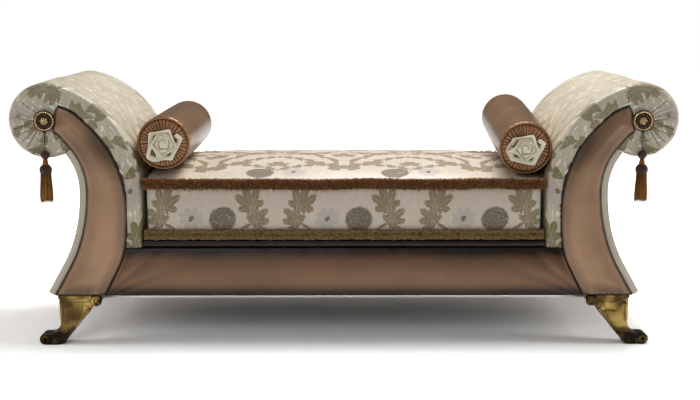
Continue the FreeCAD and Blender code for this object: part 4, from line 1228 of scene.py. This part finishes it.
brown_thread = thread_material("brown_chenille", "1e1005", "80552e", "dcb078")
olive_thread = thread_material("olive_chenille", "171005", "6e5930", "ae955a")
for name, slot, finish, node_name in (("top_fringe", "brown_fringe", brown_thread, "cushion_top_fringe"),
                                      ("bottom_fringe", "olive_fringe", olive_thread, "cushion_bottom_fringe")):
    low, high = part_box(node_name)
    if name == "top_fringe":
        threads = ruff(name + "_threads", (low.z + high.z) / 2, RUFF_THREADS)
    else:
        threads = brush(name + "_threads", high.z - 0.002, low.z, BRUSH_THREADS)
    heading = merged_copy(node_name, name + "_heading")
    remesh(heading, 0.003, 1)
    outward = [vertex.normal.copy() for vertex in heading.data.vertices]
    for vertex, way in zip(heading.data.vertices, outward):
        place = vertex.co + way * (0.0035 * noise.noise(vertex.co * 110.0) - 0.001)
        if name == "top_fringe":
            place.z += seam_wave(place)
        vertex.co = place
    lay = heading.data.attributes.new("tip", "FLOAT", "POINT")
    lumps = [0.35 + 0.5 * noise.noise(vertex.co * 260.0) for vertex in heading.data.vertices]
    lay.data.foreach_set("value", lumps)
    for piece in (threads, heading):
        dress(piece, "seat_cushion", slot, finish, node_name)
print("fringes made")

# %% [markdown]
# ## Bolsters
# Two satin rolls lie across the seat. Each end is a ruched disc inside a piped edge, with a fabric rose on it.
# The roll is the frame's solid remeshed; the disc is a grid laid out round its middle, and its pleats are
# sharp valleys between round folds, as gathered satin makes them.

# %% Bolster rolls
BOLSTER_PLACES = {"left": ((-0.543, -0.004, 0.6213659), 0.0, 0.0),
                  "right": ((0.5546449, -0.004, 0.6252174), 3.75, -1.4)}
BOLSTER_HALF = 0.295
RUCHES = 40
ROSE_TURNS = 3.1
ROSE_SIDES = 4.6
ROSE_SEAT = 0.034
UPRIGHT = (math.radians(90), 0, 0)


def bolster_matrix(side):
    spot, rise, turn = BOLSTER_PLACES[side]
    return (Matrix.Translation(spot) @ Matrix.Rotation(math.radians(turn), 4, "Z")
            @ Matrix.Rotation(math.radians(rise), 4, "X"))


def bolster_roll(side):
    roll = merged_copy(side + "_bolster", side + "_bolster_roll")
    remesh(roll, 0.004, 2)
    back = bolster_matrix(side).inverted()
    roll.data.transform(back)
    for vertex in roll.data.vertices:
        x, y, z = vertex.co
        off = math.hypot(x, z)
        if off > 0.07:
            turn = math.atan2(z, x)
            near = math.exp(-(BOLSTER_HALF - abs(y)) / 0.022)
            folds = 0.0009 * near * (math.sin(turn * 26.0 + 2.0 * noise.noise(Vector((turn, y, 0.0)))) - 1.0)
            slack = -0.0006 * (1.0 + noise.noise(Vector((turn * 2.0, y * 9.0, 5.0))))
            vertex.co.x *= (off + folds + slack) / off
            vertex.co.z *= (off + folds + slack) / off
    roll.data.transform(bolster_matrix(side))
    return roll


def polar_grid(name, rings, spokes, place):
    """A grid closed round a middle; place gives the point for a ring's share and an angle, and the painted
    shade stored at it.
    """
    disc = flat_grid(name, spokes, rings)
    crease_shade = disc.data.attributes.new("crease_shade", "FLOAT", "POINT")
    for vertex in disc.data.vertices:
        turn = math.pi * (vertex.co.x + 1)
        share = (vertex.co.y + 1) / 2
        vertex.co, crease_shade.data[vertex.index].value = place(share, turn)
    weld(disc, 0.00001)
    return disc


def ruched_point(share, turn):
    """A point of the ruched disc: from the hollow under the rose out to the piping, and its painted shade in
    the valleys.
    """
    off = 0.012 + 0.062 * share
    phase = turn * RUCHES / 2 + 1.6 * noise.noise(Vector((math.cos(turn) * 3, math.sin(turn) * 3, share * 1.5)))
    fold = abs(math.sin(phase))
    uneven = 0.75 + 0.5 * noise.noise(Vector((math.cos(turn) * 9, math.sin(turn) * 9, 3.0)))
    height = (0.0012 + 0.0030 * math.sin(math.pi * min(share * 1.05, 1.0))) * fold ** 0.7 * uneven
    dish = 0.0035 + 0.0035 * smoothstep(0.0, 0.75, share) - 0.004 * smoothstep(0.9, 1.0, share)
    # Painted shade: the valleys between the folds are darkened.
    valley = (1.0 - fold) ** 1.4
    return Vector((off * math.cos(turn), -BOLSTER_HALF - dish - height, off * math.sin(turn))), valley


def petal_ribbon(share_up, progress):
    """A point of the rose's ribbon: wound in a spiral, flaring at its upper edge."""
    turn = 2 * math.pi * ROSE_TURNS * progress
    side = 2 * math.pi / ROSE_SIDES
    off = 0.0045 + 0.0325 * progress ** 0.85
    pinch = 0.93 / math.cos((turn % side) - side / 2) + 0.10 * noise.noise(Vector((turn * 0.8, 3.0, 0.0)))
    height = 0.022 - 0.011 * progress
    flare = (0.003 + 0.014 * progress) * share_up ** 2
    wave = 0.006 * noise.noise(Vector((turn * 0.9, 7.0, share_up))) * share_up
    return Vector(((off + flare) * pinch * math.cos(turn), -(height * share_up * (1 - 0.25 * share_up) + wave),
                   (off + flare) * pinch * math.sin(turn)))


def fabric_rose(name, tail):
    """A ribbon wound into a rose, with one folded corner that points along an angle."""
    rose = flat_grid(name, 220, 10)
    for vertex in rose.data.vertices:
        spot = petal_ribbon((vertex.co.y + 1) / 2, (vertex.co.x + 1) / 2)
        off = math.hypot(spot.x, spot.z)
        toward = math.cos(math.atan2(spot.z, spot.x) - tail)
        corner = max(toward, 0.0) ** 9 * 0.016 * smoothstep(0.026, 0.040, off)
        spot.x *= 1.0 + corner / max(off, 0.001)
        spot.z *= 1.0 + corner / max(off, 0.001)
        spot.y -= BOLSTER_HALF + 0.004
        vertex.co = spot
    seat = primitive(bpy.ops.mesh.primitive_uv_sphere_add, segments=24, ring_count=12, radius=ROSE_SEAT,
                     location=(0.0, -BOLSTER_HALF - 0.001, 0.0))
    for vertex in seat.data.vertices:
        vertex.co.y = -BOLSTER_HALF - 0.005 + (vertex.co.y + BOLSTER_HALF + 0.001) * 0.2
    apply_modifier(rose, "SOLIDIFY", thickness=0.0012, offset=0.0)
    apply_modifier(rose, "SUBSURF", levels=1, render_levels=1)
    return join([rose, seat])


def bolster_cap(name):
    """The ruched disc inside its piping."""
    cap = polar_grid(name, 22, RUCHES * 9, ruched_point)
    apply_modifier(cap, "SOLIDIFY", thickness=0.002, offset=-1.0)
    piping = primitive(bpy.ops.mesh.primitive_torus_add, major_radius=0.0758, minor_radius=0.0032,
                       major_segments=120, minor_segments=12, location=(0, -BOLSTER_HALF - 0.0030, 0),
                       rotation=UPRIGHT)
    return join([cap, piping])


# %% Put both bolsters together
ROSE_TAILS = {"left": math.radians(235), "right": math.radians(185)}
for side in ("left", "right"):
    matrix = bolster_matrix(side)
    body = side + "_bolster"
    roll = bolster_roll(side)
    dress(roll, body, "copper_satin", copper_satin, side + "_bolster")
    for end in ("front", "rear"):
        cap = bolster_cap(side + "_" + end + "_ruching")
        rose = fabric_rose(side + "_" + end + "_silk_rose", ROSE_TAILS[side])
        for piece in (cap, rose):
            if end == "rear":
                flip(piece, 1)
            piece.data.transform(matrix)
        dress(cap, body, "copper_satin", ruched_satin, body + "_" + end + "_end")
        dress(rose, body, "rose_silk", rose_silk, body + "_" + end + "_rose")
print("bolsters made")

# %% [markdown]
# ## Rosettes and tassels
# The passementerie is wound and netted silk: a corded disc with a ring of gilt beads and a knotted middle,
# and a tassel whose turned mould is covered with dark netting over an amber neck. Its skirt is cut thread.
# The beads are small spheres and the cords are rings, because their round highlights are what one sees.

# %% Thread and bead finishes
def silk_cord(name, dark, light, pitch):
    """Twisted or netted silk: diagonal ridges, with a painted highlight on top and painted shade between."""
    material, tree = new_material(name)
    net = add(tree, "ShaderNodeTexVoronoi", {"Vector": place_in(tree), "Scale": 1 / pitch}).node
    # Painted highlight on the middle of each ridge and painted shade between them.
    ramp = colour_ramp(tree, net.outputs["Distance"], (0.15, light), (0.7, dark))
    height = maths(tree, "SUBTRACT", 1.0, net.outputs["Distance"])
    bump = add(tree, "ShaderNodeBump", {"Height": height, "Strength": 0.8, "Distance": pitch * 0.5})
    shader = add(tree, "ShaderNodeBsdfPrincipled", {
        "Base Color": ramp, "Roughness": 0.5, "Normal": bump, "Specular IOR Level": 0.25, "Sheen Weight": 0.04})
    close_material(tree, shader)
    return material


dark_net = silk_cord("dark_silk_netting", "120703", "52301a", 0.0028)
amber_silk = silk_cord("amber_silk", "5a2a0c", "a8622a", 0.0016)
cord_silk = silk_cord("brown_silk_cord", "241008", "6a3c1e", 0.0016)
gilt_bead, tree = new_material("gilt_beads")
tarnish = add(tree, "ShaderNodeTexNoise", {"Vector": place_in(tree), "Scale": 220.0, "Detail": 2.0})
tone = colour_ramp(tree, tarnish, (0.35, "a8803c"), (0.65, "f0dca8"))
close_material(tree, add(tree, "ShaderNodeBsdfPrincipled", {
    "Base Color": tone, "Metallic": 0.85, "Roughness": 0.28}))
golden_thread = thread_material("golden_tassel_thread", "2a1403", "7c4f12", "b9822e")

# %% Rosette
ROSETTE_FACE = -0.3466
BEADS = 28
BEAD_RING = 0.0262
KNOT_BEADS = 26
KNOT_SIZE = 0.0108
GOLDEN_TURN = 2.39996
# Each ring of cord: its radius, its thickness and how far it stands behind the face
CORD_RINGS = [(0.0290, 0.0032, 0.001), (0.0185, 0.0040, 0.0), (0.0120, 0.0026, -0.0010)]


def ball(x, y, z, radius, segments=12, rings=8):
    return primitive(bpy.ops.mesh.primitive_uv_sphere_add, segments=segments, ring_count=rings, radius=radius,
                     location=(x, y, z))


def joined(parts, name, finish):
    """Parts of one finish as one piece of this name."""
    for part in parts:
        part.data.materials.clear()
        part.data.materials.append(finish)
    made = join(parts)
    made.name = made.data.name = name
    return made


def rosette_cords(name):
    """The dark corded disc: its plate, its rings and the bed of the knot."""
    plate = primitive(bpy.ops.mesh.primitive_cylinder_add, vertices=72, radius=0.0305, depth=0.0066,
                      location=(ROLL_X, ROSETTE_FACE + 0.0045, ROLL_Z), rotation=UPRIGHT)
    apply_modifier(plate, "BEVEL", width=0.002, segments=3, limit_method="ANGLE")
    rings = [primitive(bpy.ops.mesh.primitive_torus_add, major_radius=major, minor_radius=minor,
                       major_segments=72, minor_segments=10, location=(ROLL_X, ROSETTE_FACE + behind, ROLL_Z),
                       rotation=UPRIGHT) for major, minor, behind in CORD_RINGS]
    bed = ball(ROLL_X, ROSETTE_FACE, ROLL_Z, 0.0115, 32, 16)
    for vertex in bed.data.vertices:
        vertex.co.y = ROSETTE_FACE + (vertex.co.y - ROSETTE_FACE) * 0.35
    return joined([plate, bed] + rings, name, dark_net)


def rosette_beads(name):
    """Gilt beads: a ring between the cords and a knotted cluster in the middle."""
    beads = []
    for index in range(BEADS):
        turn = 2 * math.pi * index / BEADS
        beads.append(ball(ROLL_X + BEAD_RING * math.cos(turn), ROSETTE_FACE - 0.0018,
                          ROLL_Z + BEAD_RING * math.sin(turn), 0.0027))
    dice = random.Random("knot")
    for index in range(KNOT_BEADS):
        off = KNOT_SIZE * math.sqrt((index + 0.5) / KNOT_BEADS)
        turn = index * GOLDEN_TURN
        beads.append(ball(ROLL_X + off * math.cos(turn), ROSETTE_FACE - 0.0046 + 12.0 * off * off,
                          ROLL_Z + off * math.sin(turn), dice.uniform(0.0014, 0.0019)))
    return joined(beads, name, gilt_bead)


cords_disc = rosette_cords("right_front_rosette_cords")
bead_ring = rosette_beads("right_front_rosette_beads")
rosettes = {"right_front": (cords_disc, bead_ring)}
for place, source, plane in (("left_front", "right_front", 0), ("right_rear", "right_front", 1),
                             ("left_rear", "right_rear", 0)):
    rosettes[place] = (mirror_piece(rosettes[source][0], place + "_rosette_cords", plane),
                       mirror_piece(rosettes[source][1], place + "_rosette_beads", plane))
for place, (corded, beaded) in rosettes.items():
    dress(corded, "bench", "beaded_braid", dark_net, place + "_rosette")
    dress(beaded, "bench", "beaded_braid", gilt_bead, place + "_rosette")
for side, sign in (("right", 1), ("left", -1)):
    eye = ball(sign * ROLL_X, CORD_DEPTH, CORD_TOP + 0.0045, 0.0044)
    eye.name = eye.data.name = side + "_rosette_eye"
    bpy.ops.object.shade_smooth()
    dress(eye, "bench", "beaded_braid", dark_net)
print("rosettes made")

# %% Tassel mould
BALL_TOP = CORD_TOP - CORD_LENGTH
BALL_RADIUS = 0.0135
NECK_LOW = 0.5630
KNOT_RADIUS = 0.0185
HEAD_LOW = 0.5369948
SKIRT_TOP = HEAD_LOW + 0.003
SKIRT_LOW = 0.446
STRANDS = 240


def turned(name, outline, finish, x):
    """A profile of (radius, height) spun round the tassel's axis, closed at both ends."""
    mesh = bpy.data.meshes.new(name)
    edges = [(step, step + 1) for step in range(len(outline) - 1)]
    mesh.from_pydata([(x + off, CORD_DEPTH, up) for off, up in outline], edges, [])
    obj = new_object(name, mesh)
    only(obj)
    bpy.ops.object.mode_set(mode="EDIT")
    bpy.ops.mesh.select_all(action="SELECT")
    bpy.ops.mesh.spin(steps=40, angle=2 * math.pi, center=(x, CORD_DEPTH, 0), axis=(0, 0, 1))
    bpy.ops.object.mode_set(mode="OBJECT")
    weld(obj, WELD)
    bpy.ops.object.shade_smooth()
    obj.data.materials.append(finish)
    return obj


def arc_profile(radius, middle, low, high, steps):
    """Points on a circle about the axis between two heights, from the top down."""
    ups = [high + (low - high) * step / steps for step in range(steps + 1)]
    return [(math.sqrt(max(radius ** 2 - (up - middle) ** 2, 0.0)), up) for up in ups]


for side, sign in (("right", 1), ("left", -1)):
    x = sign * ROLL_X
    ball_middle = BALL_TOP - BALL_RADIUS
    ball_low = ball_middle - 0.0110
    neck_top = ball_middle - 0.0108
    ball_arc = arc_profile(BALL_RADIUS, ball_middle, ball_low, BALL_TOP, 16)
    upper = turned(side + "_tassel_ball", ball_arc + [(0.0, ball_low)], dark_net, x)
    neck = turned(side + "_tassel_neck",
                  [(0.0, neck_top), (0.0062, neck_top), (0.0072, neck_top - 0.006), (0.0084, NECK_LOW + 0.004),
                   (0.0105, NECK_LOW - 0.002), (0.0, NECK_LOW - 0.002)], amber_silk, x)
    knot = arc_profile(KNOT_RADIUS, HEAD_LOW + 0.0101, HEAD_LOW, NECK_LOW - 0.0005, 14)
    lower = turned(side + "_tassel_knot", [(0.0, NECK_LOW)] + knot + [(0.0, HEAD_LOW)], dark_net, x)
    for piece, finish in ((upper, dark_net), (neck, amber_silk), (lower, dark_net)):
        dress(piece, side + "_tassel", "tassel_binding", finish, side + "_tassel_head")
    dice = random.Random(side + "skirt")
    strands = []
    for _ in range(STRANDS):
        turn = 2 * math.pi * dice.random()
        layer = math.sqrt(dice.uniform(0.35, 1.0))
        low = SKIRT_LOW + abs(dice.gauss(0.0, 0.0035)) + 0.0003
        sway = dice.gauss(0.0, 0.03)
        path = []
        for step in range(5):
            down = step / 4
            off = layer * (0.0150 + 0.0042 * smoothstep(0.0, 0.8, down))
            angle = turn + sway * down
            path.append(Vector((x + off * math.cos(angle), CORD_DEPTH + off * math.sin(angle),
                                SKIRT_TOP + (low - SKIRT_TOP) * down)))
        strands.append((path, dice.uniform(0.0011, 0.0016)))
    skirt = plant(side + "_tassel_threads", strands)
    core = turned(side + "_tassel_core", [(0.0, HEAD_LOW + 0.001), (0.0140, HEAD_LOW + 0.001), (0.0155, 0.500),
                                          (0.0165, 0.458), (0.0, 0.458)], golden_thread, x)
    for piece in (skirt, core):
        dress(piece, side + "_tassel", "golden_thread", golden_thread, side + "_tassel_skirt")
    cord = cords[side]
    cord.data.materials.append(cord_silk)
    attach(cord, side + "_tassel_cord")
    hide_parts(side + "_tassel_cord")
print("tassels made")

# %% [markdown]
# ## Gilt feet
# The feet are carved and cast, then finished in old gold: bright where hands and dusters rub the high places,
# and near black in the hollows, where the patina was left. Pointiness would need dense meshes everywhere,
# so ambient occlusion finds the hollows instead.

# %% Gilt feet
PANEL_LEAN = 0.76
PANEL_FROM, PANEL_TO = 0.853, 0.866
LEG_FROM, LEG_TO = 0.040, 0.062
CARVED_SHADE = 0.62

gilt, tree = new_material("old_gilt_brass")
spot = place_in(tree)
hollow = add(tree, "ShaderNodeAmbientOcclusion", {"Distance": 0.012}, samples=8).node.outputs["AO"]
cloudy = add(tree, "ShaderNodeTexNoise", {"Vector": spot, "Scale": 45.0, "Detail": 5.0})
warp = add(tree, "ShaderNodeTexNoise", {"Vector": spot, "Scale": 18.0, "Detail": 1.0}).node.outputs["Color"]
bent = add(tree, "ShaderNodeVectorMath", {0: warp, 1: (0.05, 0.05, 0.05), 2: spot}, operation="MULTIPLY_ADD")
carved = add(tree, "ShaderNodeTexWave", {"Vector": bent, "Scale": 16.0, "Distortion": 3.0, "Detail": 1.0},
             wave_type="RINGS")
relief = add(tree, "ShaderNodeMapRange", {"Value": carved, "From Min": 0.1, "From Max": 0.7, "To Min": 0.45})
bump = add(tree, "ShaderNodeBump", {"Height": carved, "Strength": 0.6, "Distance": 0.004})
# The leg's outer panel is smooth above a slanting line and above the volute; the rest is carved
parts = add(tree, "ShaderNodeSeparateXYZ", {0: spot}).node.outputs
slant = maths(tree, "MULTIPLY_ADD", parts[2], PANEL_LEAN, maths(tree, "ABSOLUTE", parts[0]))
panel = add(tree, "ShaderNodeMapRange", {"Value": slant, "From Min": PANEL_FROM, "From Max": PANEL_TO},
            interpolation_type="SMOOTHSTEP")
leg = add(tree, "ShaderNodeMapRange", {"Value": parts[2], "From Min": LEG_FROM, "From Max": LEG_TO})
flow = add(tree, "ShaderNodeTexNoise", {"Vector": spot, "Scale": 16.0, "Detail": 1.0})
plain = times(tree, flow, hollow)
carved_gilt = times(tree, cloudy, times(tree, times(tree, relief, hollow), CARVED_SHADE))
worn = add(tree, "ShaderNodeMix", {0: times(tree, panel, leg), 2: carved_gilt, 3: plain})
ramp = colour_ramp(tree, worn, (0.12, "0c0702"), (0.38, "54401c"), (0.66, "bfa45e"))
rough = add(tree, "ShaderNodeMapRange", {"Value": cloudy, "To Min": 0.5, "To Max": 0.28})
close_material(tree, add(tree, "ShaderNodeBsdfPrincipled", {
    "Base Color": ramp, "Metallic": 0.8, "Roughness": rough, "Normal": bump}))
for node_name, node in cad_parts.items():
    if node_name.endswith("_foot"):
        node.data.materials.clear()
        node.data.materials.append(gilt)
print("feet gilded")
